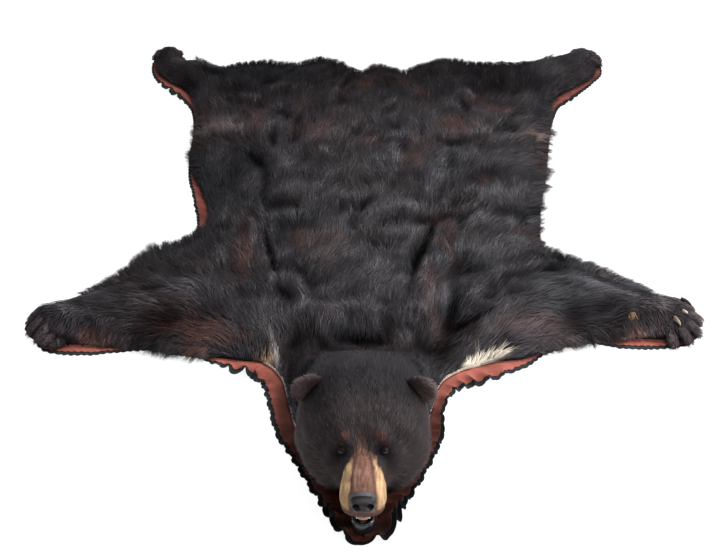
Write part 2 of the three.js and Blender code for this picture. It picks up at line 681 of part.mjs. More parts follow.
function tongueGeometry() {
  const plan = new THREE.Shape();
  plan.moveTo(HEAD_X + TONGUE.half, TONGUE.back);
  plan.lineTo(HEAD_X - TONGUE.half, TONGUE.back);
  plan.lineTo(HEAD_X - TONGUE.half, TONGUE.tip + TONGUE.half);
  plan.absarc(HEAD_X, TONGUE.tip + TONGUE.half, TONGUE.half, Math.PI, 2 * Math.PI, false);
  plan.closePath();
  return prism(plan, JAW.floor + GAP, JAW.floor + GAP + TONGUE.thick, 8);
}

// The front teeth under the upper lip, on one strip of gum, seated under the muzzle.
function teethSolid(headCut) {
  const pieces = [];
  for (let i = 0; i < TEETH.count; i++) {
    const x = HEAD_X + (i - (TEETH.count - 1) / 2) * TEETH.width;
    const bow = 0.5 * Math.abs(i - (TEETH.count - 1) / 2) ** 2;
    const tooth = new THREE.BoxGeometry(TEETH.width * 0.86, TEETH.deep, TEETH.high);
    pieces.push(solidOf(placed(tooth, x, TEETH.y + bow, TEETH.gum - TEETH.high / 2)));
  }
  const gum = new THREE.BoxGeometry(TEETH.width * TEETH.count, TEETH.deep + 5, 8);
  pieces.push(solidOf(placed(gum, HEAD_X, TEETH.y + 2, TEETH.gum)));
  return pieces.reduce((all, piece) => all.add(piece)).subtract(headCut);
}

// A claw: a cone bent down along an arc, with its root in the toe.
function clawGeometry(paw, toe, grow) {
  const turned = TURNED_CLAWS.find((claw) => claw.paw === paw.name && claw.toe === toe);
  const turn = turned ? turned.turn * degrees : toeHeading(paw, toe);
  const sides = 6;
  const steps = 4;
  const root = turned ? turned.root : toeReach(paw, toe) - 19;
  const low = turned ? turned.lift : 5;
  const high = paw.claw * 0.52;
  const rings = [];
  for (let i = 0; i <= steps; i++) {
    const t = i / steps;
    const ahead = root + paw.claw * Math.sin(t * 78 * degrees) - (i ? 0 : grow);
    const z = PELT_BASE + low + high * Math.cos(t * 80 * degrees);
    const radius = paw.claw * CLAW_THICK * (1 - 0.86 * t ** 1.5) + grow;
    const tilt = t * 62 * degrees;
    const ring = [];
    for (let k = 0; k < sides; k++) {
      const round = (2 * Math.PI * k) / sides;
      const across = radius * 0.75 * Math.cos(round);
      const up = radius * Math.sin(round);
      const forward = ahead + up * Math.sin(tilt);
      ring.push([
        paw.x + forward * Math.cos(turn) - across * Math.sin(turn),
        paw.y + forward * Math.sin(turn) + across * Math.cos(turn),
        z + up * Math.cos(tilt),
      ]);
    }
    rings.push(ring);
  }
  return loftGeometry(rings);
}

function buildRug() {
  const rug = new THREE.Group();
  rug.add(meshOf("black_felt", feltGeometry(0, "black", 1, 0), 0x14191a, 0.95));
  rug.add(meshOf("red_felt", feltGeometry(RED_BASE, "red", RED_RISE, 1), 0x7a3328, 0.95));

  let pelt = solidOf(peltGeometry());
  for (const paw of PAWS) {
    for (const toe of TOES) {
      pelt = pelt.subtract(solidOf(clawGeometry(paw, toe, GAP + 0.1)));
      const shade = paw.name === "right_fore" ? 0x8a6f55 : 0x1c1c1e;
      rug.add(meshOf(`claw_${paw.name}_${toe + 3}`, clawGeometry(paw, toe, 0), shade, 0.4));
    }
  }
  rug.add(meshOf("pelt", geometryOfSolid(pelt), 0x1b1719, 0.85));

  const headCut = solidOf(headGeometry(GAP + 0.1));
  let head = solidOf(headGeometry(0));
  for (const side of [-1, 1]) {
    const x = HEAD_X + side * EYE.x;
    head = head.subtract(solidOf(ball(EYE.radius + GAP + 0.1, x, EYE.y, EYE.z)));
    rug.add(meshOf(side < 0 ? "eye_left" : "eye_right", ball(EYE.radius, x, EYE.y, EYE.z), 0x17120f, 0.1));
    rug.add(earMesh(side < 0 ? "ear_left" : "ear_right", side, headCut));
  }
  rug.add(meshOf("head", geometryOfSolid(head), 0x241e20, 0.85));
  rug.add(meshOf("nose", geometryOfSolid(noseSolid().subtract(headCut)), 0x2b2b2e, 0.35));
  rug.add(meshOf("lower_jaw", geometryOfSolid(jawSolid().subtract(headCut)), 0x1a1c20, 0.3));
  rug.add(meshOf("tongue", tongueGeometry(), 0x7d4a48, 0.5));
  rug.add(meshOf("upper_teeth", geometryOfSolid(teethSolid(headCut)), 0xd8bfa0, 0.3));

  const box = new THREE.Box3().setFromObject(rug);
  rug.position.set(-(box.min.x + box.max.x) / 2, -(box.min.y + box.max.y) / 2, 0);
  return rug;
}

export default buildRug();
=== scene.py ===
"""The looks of the bearskin rug: camera, light, two pinked felts, the pelt with its hair, the mounted head.

Lengths in the tables are millimetres in the drawing frame, head towards -Y. place() turns them into the
row frame in metres. Hair is drawn as narrow tapering ribbons, each a short run of triangles.
"""
import math

import bpy
import numpy as np
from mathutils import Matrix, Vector
from mathutils.geometry import delaunay_2d_cdt


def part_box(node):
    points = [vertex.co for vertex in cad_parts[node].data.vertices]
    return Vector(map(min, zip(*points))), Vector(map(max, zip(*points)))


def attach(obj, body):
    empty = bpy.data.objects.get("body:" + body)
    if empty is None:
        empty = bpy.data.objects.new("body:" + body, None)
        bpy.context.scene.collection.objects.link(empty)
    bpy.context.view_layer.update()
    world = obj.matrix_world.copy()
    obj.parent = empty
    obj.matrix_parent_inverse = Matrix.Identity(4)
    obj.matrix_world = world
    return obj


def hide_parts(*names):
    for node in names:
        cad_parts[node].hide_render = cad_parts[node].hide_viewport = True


rng = np.random.default_rng(11)
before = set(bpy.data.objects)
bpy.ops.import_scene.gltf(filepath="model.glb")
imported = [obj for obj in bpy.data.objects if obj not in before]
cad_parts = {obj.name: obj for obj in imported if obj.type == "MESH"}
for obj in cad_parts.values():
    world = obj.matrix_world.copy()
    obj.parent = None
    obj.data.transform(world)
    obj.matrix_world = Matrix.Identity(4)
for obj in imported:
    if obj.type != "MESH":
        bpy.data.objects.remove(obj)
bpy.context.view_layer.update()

# Middle plane of the head, and the eyes: their distance from that plane, their place along it, their height.
HEAD_X = 4.0
EYE_X = 42.0
EYE_Y = -702.0
EYE_Z = 147.0
between_eyes = np.array([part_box("eye_left"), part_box("eye_right")]).reshape(-1, 3).mean(axis=0)
SHIFT = np.array([between_eyes[0] - HEAD_X / 1000, between_eyes[1] - EYE_Y / 1000, 0.0])

# Camera: width and focal length of the photo in pixels, sensor, place, and tilt up from straight down.
PHOTO_WIDTH = 722
FOCAL_LENGTH = 1180
SENSOR_WIDTH = 36
CAMERA_PLACE = (0, -2243.2, 1882.3)
CAMERA_TILT = 50


def place(points):
    """Drawing frame in millimetres to row frame in metres."""
    return np.asarray(points, dtype=float) / 1000 + SHIFT


camera_data = bpy.data.cameras.new("camera")
camera_data.sensor_width = SENSOR_WIDTH
camera_data.lens = FOCAL_LENGTH / PHOTO_WIDTH * SENSOR_WIDTH
camera = bpy.data.objects.new("camera", camera_data)
bpy.context.collection.objects.link(camera)
camera.location = Vector(place(CAMERA_PLACE))
camera.rotation_euler = (math.radians(CAMERA_TILT), 0, 0)
bpy.context.scene.camera = camera

# Sizes: thickness of a felt, undersides of the red felt and the pelt, height of the pile, width over which it
# comes down to the rim, start of the neck, its middle and half width, and for the felts the pitch and depth of
# the pinking and the length of a ruffle. All but those of the pinking are the same in the solids.
FELT = 2.0
RED_BASE = 2.3
PELT_BASE = 4.6
PILE = 27.0
RIM_WIDTH = 55.0
NECK_Y = -470.0
NECK_X = 4.0
NECK_HALF = 118.0
PINK_PITCH = 15.0
PINK_DEPTH = 4.2
RUFFLE_LENGTH = 58.0

# Hair: distance between roots on the coat, and numbers of hairs on the rim, the face, an ear and a toe.
COAT_SPACING = 3.3
RIM_HAIRS = 36000
FACE_HAIRS = 58000
EAR_HAIRS = 6500
TOE_HAIRS = 1000

# Tables of the shape, which follow those of the solids
# Cut edge of the skin: x, y, hair past it, red felt past it, black felt past it, ruffle, rim height.
SKIN = [
    (139, -515, 2, 34, 44, 5, 9), (156, -452, 4, 20, 28, 5, 9), (178, -380, 3, 34, 43, 5, 9),
    (222, -342, 2, 44, 56, 7, 9), (262, -326, 2, 46, 58, 6, 9), (310, -310, 3, 40, 48, 4, 9),
    (365, -302, 5, 17, 27, 0, 9), (415, -280, 22, 3, 8, 0, 9), (470, -256, 28, 2, 5, 0, 9),
    (535, -240, 27, 3, 7, 0, 9), (600, -235, 10, 20, 29, 0, 9), (660, -234, 4, 24, 33, 0, 14),
    (706, -236, 9, 20, 28, 0, 20), (749, -236, 18, 12, 18, 0, 22), (776, -203, 16, 12, 18, 0, 24),
    (779, -158, 14, 12, 18, 0, 26), (757, -117, 12, 12, 18, 0, 24), (712, -104, 12, 12, 18, 0, 20),
    (672, -66, 14, 12, 18, 0, 14), (610, -22, 20, 12, 18, 0, 9), (545, 18, 22, 12, 18, 0, 9),
    (488, 54, 24, 12, 18, 0, 9), (450, 100, 20, 12, 18, 0, 9), (446, 160, 24, 12, 18, 0, 9),
    (456, 240, 24, 12, 18, 0, 9), (470, 320, 26, 12, 18, 0, 9), (488, 400, 26, 12, 18, 0, 9),
    (504, 490, 24, 12, 18, 0, 9), (520, 580, 22, 12, 18, 0, 9), (534, 660, 22, 12, 18, 0, 9),
    (548, 730, 18, 16, 24, 0, 9), (566, 795, 10, 22, 32, 0, 9), (604, 846, 9, 32, 44, 4, 9),
    (655, 890, 8, 20, 29, 0, 9), (702, 934, 8, 12, 18, 0, 14), (729, 978, 7, 15, 21, 0, 16),
    (738, 1022, 10, 10, 16, 0, 18), (728, 1060, 12, 12, 18, 0, 20), (695, 1082, 12, 12, 18, 0, 20),
    (650, 1066, 14, 12, 18, 0, 16), (600, 1040, 18, 12, 18, 0, 9), (540, 1006, 20, 12, 18, 0, 9),
    (470, 994, 24, 12, 18, 0, 9), (350, 998, 26, 12, 18, 0, 9), (262, 1014, 28, 12, 18, 0, 9),
    (200, 990, 24, 12, 18, 0, 9), (130, 950, 22, 12, 18, 0, 9), (54, 976, 28, 12, 18, 0, 9),
    (0, 950, 20, 12, 18, 0, 9), (-60, 988, 26, 12, 18, 0, 9), (-125, 1020, 28, 12, 18, 0, 9),
    (-215, 990, 24, 12, 18, 0, 9), (-300, 1003, 26, 12, 18, 0, 9), (-375, 994, 24, 12, 18, 0, 9),
    (-428, 972, 18, 12, 18, 0, 9), (-472, 988, 22, 12, 18, 0, 9), (-508, 1010, 24, 12, 18, 0, 9),
    (-545, 1012, 18, 12, 18, 0, 14), (-564, 1046, 12, 12, 18, 0, 20), (-586, 1082, 13, 12, 18, 0, 20),
    (-616, 1084, 13, 12, 18, 0, 20), (-638, 1054, 11, 12, 18, 0, 20), (-641, 1012, 7, 10, 16, 0, 16),
    (-622, 962, 6, 14, 22, 0, 14), (-588, 922, 6, 22, 32, 6, 9), (-546, 884, 6, 28, 44, 8, 9),
    (-512, 836, 7, 24, 36, 4, 9), (-490, 770, 8, 10, 18, 0, 9), (-478, 700, 8, 8, 15, 0, 9),
    (-472, 620, 14, 8, 14, 0, 9), (-468, 540, 20, 12, 18, 0, 9), (-463, 470, 18, 12, 18, 0, 9),
    (-452, 410, 10, 14, 22, 0, 9), (-430, 350, 6, 22, 29, 3, 9), (-410, 290, 6, 30, 37, 3, 9),
    (-398, 230, 6, 28, 35, 0, 9), (-404, 172, 10, 22, 28, 0, 9), (-438, 122, 20, 12, 18, 0, 9),
    (-488, 82, 24, 12, 18, 0, 9), (-535, 48, 26, 12, 18, 0, 9), (-577, -8, 18, 12, 18, 0, 9),
    (-632, -62, 14, 12, 18, 0, 9), (-690, -112, 12, 12, 18, 0, 18), (-732, -138, 11, 12, 18, 0, 22),
    (-762, -162, 18, 12, 18, 0, 28), (-774, -194, 12, 12, 18, 0, 26), (-757, -224, 12, 5, 10, 0, 22),
    (-722, -246, 9, 20, 28, 0, 20), (-680, -252, 7, 24, 33, 0, 14), (-620, -254, 8, 24, 32, 0, 9),
    (-555, -258, 13, 12, 18, 0, 9), (-490, -264, 24, 2, 5, 0, 9), (-430, -278, 28, 2, 5, 0, 9),
    (-365, -292, 26, 2, 6, 0, 9), (-338, -296, 16, 10, 18, 0, 9), (-308, -300, 6, 18, 27, 6, 9),
    (-262, -308, 4, 36, 50, 13, 9), (-222, -314, 2, 44, 56, 9, 9), (-180, -362, 2, 40, 50, 3, 9),
    (-160, -434, 2, 38, 48, 3, 9), (-141, -512, 2, 38, 48, 3, 9),
]
# The seam of the felts under the head, from the left of the throat round the chin, same columns.
BIB = [
    (-117, -556, 0, 38, 48, 3, 9), (-90, -606, 0, 39, 49, 3, 9), (-66, -654, 0, 38, 49, 4, 9),
    (-43, -700, 0, 37, 48, 8, 9), (-30, -742, 0, 32, 44, 17, 9), (-24, -776, 0, 20, 31, 19, 9),
    (4, -806, 0, 9, 17, 10, 9), (32, -776, 0, 25, 36, 20, 9), (38, -742, 0, 35, 46, 17, 9),
    (50, -700, 0, 39, 50, 8, 9), (76, -650, 0, 40, 50, 3, 9), (101, -600, 0, 39, 49, 3, 9),
    (124, -550, 0, 38, 48, 3, 9),
]
# Columns of these two tables after x and y, and the row number that closed_curve adds.
HAIR_PAST, RED_PAST, BLACK_PAST, RUFFLED, RIM_UP, ROW = range(2, 8)
# Tufts that stand out of the rim: x, y, how much longer.
TUFTS = [
    (-518, 62, 24), (482, 62, 20), (-560, 20, 9), (-498, 78, 12), (-590, -22, 8), (510, 40, 9),
    (560, 12, 10), (590, -10, 8), (446, 200, 7), (456, 262, 7), (-470, 600, 8), (-60, 990, 6),
    (-128, 1022, 6), (262, 1016, 7),
]
# Ridges and troughs of the pelt: x0, y0, x1, y1, width, rise.
FOLDS = [
    (-420, -95, -690, -185, 78, 26), (430, -90, 690, -160, 78, 27), (-712, -192, -745, -196, 46, 18),
    (712, -168, 750, -180, 46, 15), (-430, 900, -600, 1025, 62, 20), (480, 920, 690, 1030, 62, 20),
    (-130, -120, -300, -190, 95, 15), (160, -100, 330, -165, 95, 17), (-150, -420, -185, -250, 30, -8),
    (165, -400, 200, -230, 34, -9), (-45, -246, 60, -250, 30, -24), (-120, -190, 130, -190, 38, 12),
    (0, -60, 0, 850, 80, 6), (250, -170, 215, 330, 34, -8), (-215, 60, -260, 470, 34, -7),
    (-320, 830, -120, 900, 44, 8), (120, 850, 360, 905, 44, 7), (-470, 720, -300, 770, 36, -8),
    (520, 730, 340, 780, 36, -8),
]
# Paws: x, y, heading, fan, reach, bow, toe width, toe rise, claw length. Toes count from -2 to 2.
TOES = range(-2, 3)
PAWS = {
    "left_fore": (-700, -190, 233, -26, 80, 0, 13, 12, 30),
    "right_fore": (715, -190, -29, 29, 82, 0, 13, 13, 30),
    "left_hind": (-596, 1018, 108, 18, 86, 4.5, 12, 10, 24),
    "right_hind": (674, 1016, 42, 22, 85, 2.5, 12, 10, 24),
}
# Claws off the fan of the toes: x and y of the root, heading, height, share of the length, how pale.
TURNED_CLAWS = {
    ("right_fore", 2): (752, -152, -26, 38, 0.95, 0.05),
    ("right_fore", 1): (783, -182, -32, 17, 0.85, 0.45),
    ("right_fore", 0): (746, -196, -15, 47, 0.45, 1.2),
    ("right_fore", -1): (724, -216, -52, 40, 0.7, 0.75),
    ("right_fore", -2): (724, -248, -70, 2, 0.5, 0.1),
    ("left_fore", -1): (-716, -246, 215, 3, 0.6, 1),
    ("left_fore", -2): (-692, -252, 205, 2, 0.5, 1),
}
# Toes off the fan: x and y of the knuckle, heading, reach.
TURNED_TOES = {("left_fore", -1): (-680, -222, 215, 66), ("left_fore", -2): (-655, -236, 205, 62)}
# Sections of the head: y, half width, underside, height of the widest part, top.
HEAD = np.array([
    (-470.3, 117, -20, 78, 166), (-505, 122, -20, 80, 184), (-545, 127, -18, 82, 197),
    (-585, 131, -16, 84, 201), (-620, 131, -12, 84, 196), (-650, 121, -6, 84, 186),
    (-676, 101, 0, 86, 173), (-698, 77, 10, 90, 158), (-716, 57, 30, 92, 147),
    (-736, 47, 54, 92, 141), (-760, 44, 62, 92, 138), (-784, 41, 66, 92, 134),
    (-800, 35, 70, 92, 124), (-809, 22, 77, 92, 106),
], dtype=float)

# Tables read from the photograph
# How the hair lies: x, y, then its direction in the plan.
FLOW = np.array([
    (0, 900, 0, 1), (-400, 950, -0.1, 1), (400, 950, 0.1, 1), (-570, 1010, -0.6, 0.9),
    (660, 1020, 0.8, 0.8), (-560, 930, -0.7, 0.8), (640, 930, 0.8, 0.7), (-440, 740, -0.35, 1),
    (500, 740, 0.5, 1), (-250, 900, 0.4, 1), (-160, 960, 0.3, 1), (-430, 560, -0.5, 1),
    (490, 560, 0.8, 0.5), (-420, 400, -0.15, 1), (460, 400, 1, 0.5), (0, 600, 0.05, 1),
    (-220, 600, -0.05, 1), (230, 600, 0.15, 1), (0, 350, 0, 1), (-230, 330, 0, 1), (230, 330, 0.1, 1),
    (-380, 230, -0.1, 1), (340, 340, 0.35, 1), (0, 100, 0, 1), (-230, 80, -0.2, 1), (180, 80, 0.15, 1),
    (320, 180, 0.4, 1), (-400, 60, -0.3, 1), (400, 60, 0.6, 0.8), (0, -150, 0.15, 1), (-180, -130, -0.1, 1),
    (180, -150, 0, 1), (-320, -110, -0.35, 1), (350, -70, 0.7, 0.8), (-420, -150, -1, 0.3),
    (440, -70, 0.9, 0.45), (-450, 40, -0.3, 1), (490, 30, 0.6, 0.9), (-540, 10, -0.35, 1),
    (600, -40, 0.6, 0.8), (-600, -110, -0.8, 0.45), (600, -110, 1, -0.3), (-640, -170, -1, -0.2),
    (560, -170, 1, -0.1), (-500, -200, -1, -0.15), (450, -200, 1, 0.15), (-600, -235, -0.3, -1),
    (620, -215, 0.25, -1), (-480, -255, -0.7, -0.8), (500, -240, 0.8, -0.5), (-340, -270, -0.9, 0.35),
    (350, -270, 1, 0.3), (-235, -310, -0.3, 1), (270, -300, 0.75, 0.7), (-730, -180, -1, -0.25),
    (735, -165, 1, -0.3), (-690, -235, -0.4, -1), (700, -225, 0.3, -1), (300, -230, 0.5, 0.9),
    (0, -350, 0, 1), (-110, -400, -0.25, 1), (120, -400, 0.25, 1), (-180, -420, -0.4, 0.9),
    (190, -400, 0.5, 0.8), (0, -470, 0, 1), (680, -100, 0.9, 0.1),
])
# Painted light and shade of the hair: painted highlights on lit tufts and ridges, painted shade in creases and
# over broad regions. The same strokes also raise and lower the top of the coat.
# x0, y0, x1, y1, width, tone (below 0 is dark).
LIGHT_AND_SHADE_STROKES = [
    (-45, -228, 0, -240, 16, -5), (0, -240, 44, -248, 15, -5), (-155, -268, -110, -228, 22, -2.2),
    (-90, -250, -80, -285, 15, -1.8), (110, -213, 126, -236, 12, -2.2), (135, -258, 150, -292, 16, -2.0),
    (-240, 122, -232, 78, 6, -3), (-232, 78, -220, 40, 7, -3), (-220, 40, -213, -10, 6, -2.6),
    (-245, 205, -242, 120, 6, -1.4), (-200, 20, -202, -110, 5, -1.0), (-190, -92, -172, -125, 18, -2.0),
    (-210, 282, -178, 266, 20, -2.0), (-195, 192, -140, 172, 28, -1.3), (-242, 275, -214, 266, 12, -1.2),
    (-180, 25, -150, -10, 14, -1.1), (-150, -10, -113, -76, 16, -1.4), (-30, 172, -20, 155, 13, -1.3),
    (-50, 236, 0, 250, 11, -2.0), (0, 250, 14, 272, 9, -1.6), (8, 108, 42, 92, 9, -2.6),
    (42, 92, 92, 84, 9, -1.6), (-390, 162, -350, 165, 12, -2.2), (-312, 148, -300, 172, 10, -1.4),
    (-262, 445, -262, 305, 14, -1.4), (-345, 520, -330, 300, 75, -0.85), (-300, 500, -270, 470, 18, -1.0),
    (-290, 235, -268, 195, 8, -1.0), (62, 178, 95, 196, 9, -1.9), (95, 196, 165, 188, 12, -1.9),
    (160, 205, 192, 210, 17, -2.2), (188, 190, 177, 140, 7, -3), (177, 140, 158, 95, 10, -2.6),
    (158, 95, 138, 38, 14, -3), (138, 38, 125, -50, 8, -2.2), (125, -50, 117, -95, 6, -1.6),
    (215, 240, 300, 236, 9, -2.2), (225, 232, 262, 212, 16, -1.6), (270, 218, 262, 180, 11, -1.8),
    (252, 276, 300, 270, 10, -2.2), (328, 266, 346, 254, 11, -1.6), (358, 225, 452, 206, 30, -1.0),
    (430, 190, 442, 158, 18, -1.2), (225, 112, 232, 88, 6, -2.2), (235, 26, 241, -12, 9, -2.8),
    (254, 26, 276, -6, 14, -1.8), (232, -108, 222, -150, 10, -2.6), (222, -150, 214, -200, 16, -2.4),
    (214, -200, 194, -300, 28, -2.6), (272, -194, 236, -202, 14, -1.8), (323, -68, 317, -122, 17, -2.2),
    (438, 62, 456, 50, 14, -3), (490, 2, 400, -30, 20, -1.2), (310, 392, 352, 420, 30, -1.2),
    (320, 352, 332, 328, 10, -1.6), (244, 430, 250, 500, 6, -1.5), (247, 420, 246, 330, 6, -1.2),
    (160, 376, 100, 386, 14, -1.2), (202, 302, 180, 268, 12, -1.4), (226, 362, 214, 318, 8, -1.2),
    (-232, 716, -210, 690, 15, -2.8), (-256, 600, -246, 555, 13, -2.2), (-312, 506, -286, 478, 20, -1.3),
    (-264, 820, -226, 830, 12, -1.8), (-300, 834, -366, 850, 28, -1.0), (-292, 892, -262, 902, 18, -1.0),
    (-484, 944, -436, 930, 17, -2.2), (-534, 885, -508, 868, 20, -1.8), (-392, 782, -370, 792, 12, -1.6),
    (-186, 640, -178, 704, 12, -1.5), (-62, 765, -60, 804, 16, -1.6), (-40, 905, -62, 848, 11, -1.0),
    (-12, 604, 4, 578, 14, -1.5), (-192, 560, -186, 604, 14, -1.5), (300, 780, 313, 752, 11, -3.2),
    (117, 549, 123, 539, 9, -3.2), (28, 592, 52, 578, 11, -1.8), (52, 578, 112, 564, 12, -1.7),
    (225, 566, 262, 556, 13, -2.4), (252, 540, 300, 556, 11, -2.2), (442, 616, 408, 642, 14, -1.6),
    (350, 582, 300, 572, 9, -1.2), (390, 905, 500, 900, 55, -0.8), (380, 850, 450, 830, 30, -0.7),
    (92, 742, 78, 718, 12, -1.4), (85, 652, 102, 640, 16, -1.2), (438, 682, 452, 702, 10, -1.4),
    (-500, -200, -455, -200, 34, -1.8), (-540, -108, -480, -108, 9, -1.6),
    (-672, -138, -662, -178, 17, -1.6), (-705, -262, -672, -258, 16, -3),
    (-552, -262, -540, -270, 13, -1.6), (500, -220, 492, -160, 22, -2.0), (520, -180, 590, -180, 34, -1.1),
    (600, -210, 620, -190, 12, -1.6), (480, 10, 470, -20, 20, -1.2), (670, -112, 676, -140, 13, -1.5),
    (700, -95, 680, -120, 9, -1.0), (-440, 500, -430, 300, 22, -0.4), (-560, -60, -590, -80, 16, -0.8),
    (560, -10, 640, -60, 20, -0.6), (760, -150, 775, -190, 5, -1.4), (735, -185, 752, -205, 5, -1.4),
    (-360, 940, 470, 930, 140, -1.75), (0, 640, 0, 120, 190, -0.22), (450, 620, 450, 220, 110, -0.35),
    (360, -60, 620, -130, 120, -0.2), (-660, -200, -420, -160, 90, 0.35), (-246, 225, -180, 222, 12, 0.9),
    (-205, 350, -118, 340, 19, 0.8), (-62, 322, -40, 288, 16, 0.7), (-102, 205, -50, 188, 19, 0.9),
    (-270, 292, -262, 246, 7, 0.9), (-283, 190, -270, 90, 8, 0.9), (-230, 88, -192, 58, 15, 0.9),
    (-218, -28, -160, -56, 18, 0.8), (-150, -62, -134, -150, 8, 0.9), (-60, -168, 20, -130, 20, 0.8),
    (-110, -196, -40, -176, 14, 0.7), (20, -186, 95, -192, 14, 0.8), (-500, -66, -440, -80, 14, 0.8),
    (-560, -84, -552, -104, 12, 0.8), (-642, -112, -590, -152, 14, 0.9), (90, 262, 150, 250, 15, 0.8),
    (32, 250, 18, 165, 15, 0.7), (60, 140, 120, 150, 28, 0.7), (300, 215, 395, 180, 24, 0.9),
    (300, 205, 288, 110, 12, 0.7), (250, 263, 302, 252, 5, 1.2), (335, 330, 480, 335, 38, 0.6),
    (310, 60, 400, -5, 40, 0.6), (160, 20, 172, -130, 12, 0.8), (143, -10, 152, -80, 7, 0.8),
    (205, -70, 194, -190, 9, 0.9), (60, -262, 105, -252, 24, 0.7), (385, -240, 470, -170, 32, 0.7),
    (480, -62, 560, -85, 13, 0.9), (560, -95, 640, -132, 12, 1.4), (640, -140, 710, -190, 15, 0.9),
    (343, -20, 352, -95, 14, 0.6), (-352, 806, -278, 800, 11, 0.8), (-92, 885, -80, 795, 13, 0.8),
    (-60, 905, -76, 828, 8, 0.7), (-232, 505, -198, 448, 14, 0.9), (-104, 525, -80, 480, 13, 0.7),
    (-350, 965, -290, 985, 22, 0.5), (-248, 642, -214, 640, 12, 0.6), (92, 534, 100, 478, 19, 1.1),
    (320, 832, 336, 814, 12, 1.1), (375, 575, 425, 590, 22, 0.8), (232, 502, 220, 458, 13, 0.8),
    (58, 592, 112, 588, 6, 0.8), (328, 746, 402, 668, 8, 1.0), (520, 985, 542, 938, 5, 0.9),
    (470, 480, 400, 460, 30, 0.5), (-510, 1000, -480, 1010, 30, 0.6), (-20, 60, 60, 20, 40, 0.55),
    (40, -60, 90, -110, 26, 0.4), (-60, 110, -30, 60, 24, 0.6), (-30, 470, 50, 460, 34, 0.4),
    (40, 330, 80, 290, 26, 0.4), (690, -210, 655, -230, 16, 0.8), (-690, -238, -650, -240, 10, 1.0),
    (-765, -165, -750, -172, 9, 0.8), (-700, -215, -720, -225, 7, 0.6),
]
BROWN = (0.026, 0.0145, 0.0130)
UMBER = (0.040, 0.026, 0.020)
SLATE = (0.05, 0.045, 0.05)
RUST = (0.052, 0.0225, 0.0175)
CHESTNUT = (0.060, 0.028, 0.024)
FOX = (0.085, 0.040, 0.028)
ROSE = (0.060, 0.042, 0.040)
FAWN = (0.125, 0.094, 0.086)
SAND = (0.16, 0.115, 0.100)
TAN = (0.30, 0.19, 0.12)
ASH = (0.42, 0.38, 0.35)
HONEY = (0.70, 0.40, 0.22)
CREAM = (0.80, 0.70, 0.56)
# Patches of another colour: x, y, half width, half length, turn in degrees, strength, colour.
PATCHES = [
    (10, 840, 26, 40, 0, 0.95, RUST), (130, 845, 40, 20, -20, 0.7, RUST),
    (180, 800, 42, 26, -30, 0.75, RUST), (270, 610, 55, 42, 0, 0.75, RUST),
    (250, 560, 40, 20, 0, 0.8, BROWN), (140, 440, 36, 40, 0, 0.7, RUST), (160, 520, 30, 40, 0, 0.5, RUST),
    (380, 715, 60, 16, -42, 0.8, RUST), (330, 770, 34, 26, 0, 0.6, RUST), (20, 535, 30, 28, 0, 0.7, RUST),
    (-140, 590, 60, 50, 0, 0.6, RUST), (-70, 640, 50, 40, 0, 0.6, BROWN),
    (-155, 725, 26, 30, 0, 0.7, BROWN), (-60, 780, 40, 40, 0, 0.8, BROWN),
    (-180, 680, 30, 50, 0, 0.7, BROWN), (-280, 0, 20, 56, 0, 0.95, RUST), (-292, 90, 14, 70, 0, 0.6, RUST),
    (-155, 90, 16, 60, 8, 0.8, RUST), (-100, 80, 50, 50, 0, 0.9, UMBER), (-125, 10, 18, 50, 14, 0.7, BROWN),
    (-100, 10, 20, 60, 8, 0.5, ROSE), (385, 122, 30, 10, 38, 0.95, RUST), (452, 122, 26, 26, 0, 0.8, RUST),
    (226, 90, 16, 60, 0, 0.7, RUST), (222, 20, 8, 60, 0, 0.7, RUST), (200, 170, 30, 40, 0, 0.6, RUST),
    (330, 350, 26, 24, 0, 0.6, RUST), (160, -110, 20, 80, 0, 0.5, RUST), (165, -250, 14, 50, 0, 0.8, RUST),
    (-420, -190, 70, 55, 0, 0.7, BROWN), (-360, -230, 90, 26, -16, 0.8, RUST),
    (-330, -268, 60, 13, -10, 0.8, FOX), (360, -230, 80, 30, 14, 0.7, RUST),
    (230, -260, 26, 60, 0, 0.7, BROWN), (494, 420, 22, 180, -6, 0.8, RUST),
    (-472, 590, 24, 90, 0, 0.8, CHESTNUT), (-440, 700, 36, 60, 0, 0.6, BROWN),
    (-300, 640, 30, 70, 0, 0.6, RUST), (-385, 650, 60, 20, 6, 0.9, ROSE),
    (-398, 600, 54, 26, 0, 0.85, FAWN), (-400, 520, 46, 60, 0, 0.4, BROWN),
    (480, 606, 44, 34, 0, 0.85, ROSE), (476, 588, 36, 20, 0, 0.9, SAND), (530, 560, 16, 80, 0, 0.8, RUST),
    (-320, -235, 40, 16, 0, 0.5, RUST), (-190, -312, 9, 34, 10, 0.75, ASH),
    (-216, -318, 26, 12, -8, 0.8, TAN), (286, -308, 46, 12, 22, 1.0, CREAM),
    (244, -328, 24, 9, 22, 1.0, CREAM), (312, -295, 20, 9, 24, 1.0, CREAM),
    (-600, -240, 60, 22, 0, 0.7, RUST), (620, -225, 60, 18, 0, 0.7, RUST),
    (430, -215, 60, 40, 0, 0.35, RUST), (629, -191, 9, 5, 0, 1.0, HONEY),
    (-172, -372, 5, 40, -20, 0.7, ROSE), (-520, 980, 60, 40, 0, 0.4, SLATE),
    (-560, -60, 50, 40, 0, 0.5, BROWN), (600, -30, 60, 40, 0, 0.4, BROWN),
    (240, 920, 60, 60, 0, 0.4, BROWN), (70, 930, 50, 50, 0, 0.4, BROWN),
    (-120, 1000, 60, 40, 0, 0.4, BROWN), (90, 860, 60, 40, 0, 0.4, BROWN),
]
FUR_BLACK = np.array([0.0150, 0.0132, 0.0152])
CUT_SKIN = (0.66, 0.56, 0.46)
WARM_BLACK = np.array([0.026, 0.017, 0.016])
FACE_BLACK = np.array([0.0400, 0.0310, 0.0310])
# Painted light on the rims of the ears.
EAR_RIM_LIT = np.array([0.130, 0.102, 0.100])
CROWN_BLACK = (0.0100, 0.0082, 0.0088)
CHEEK_BROWN = (0.0520, 0.0350, 0.0330)
BRIDGE_BROWN = (0.070, 0.040, 0.033)
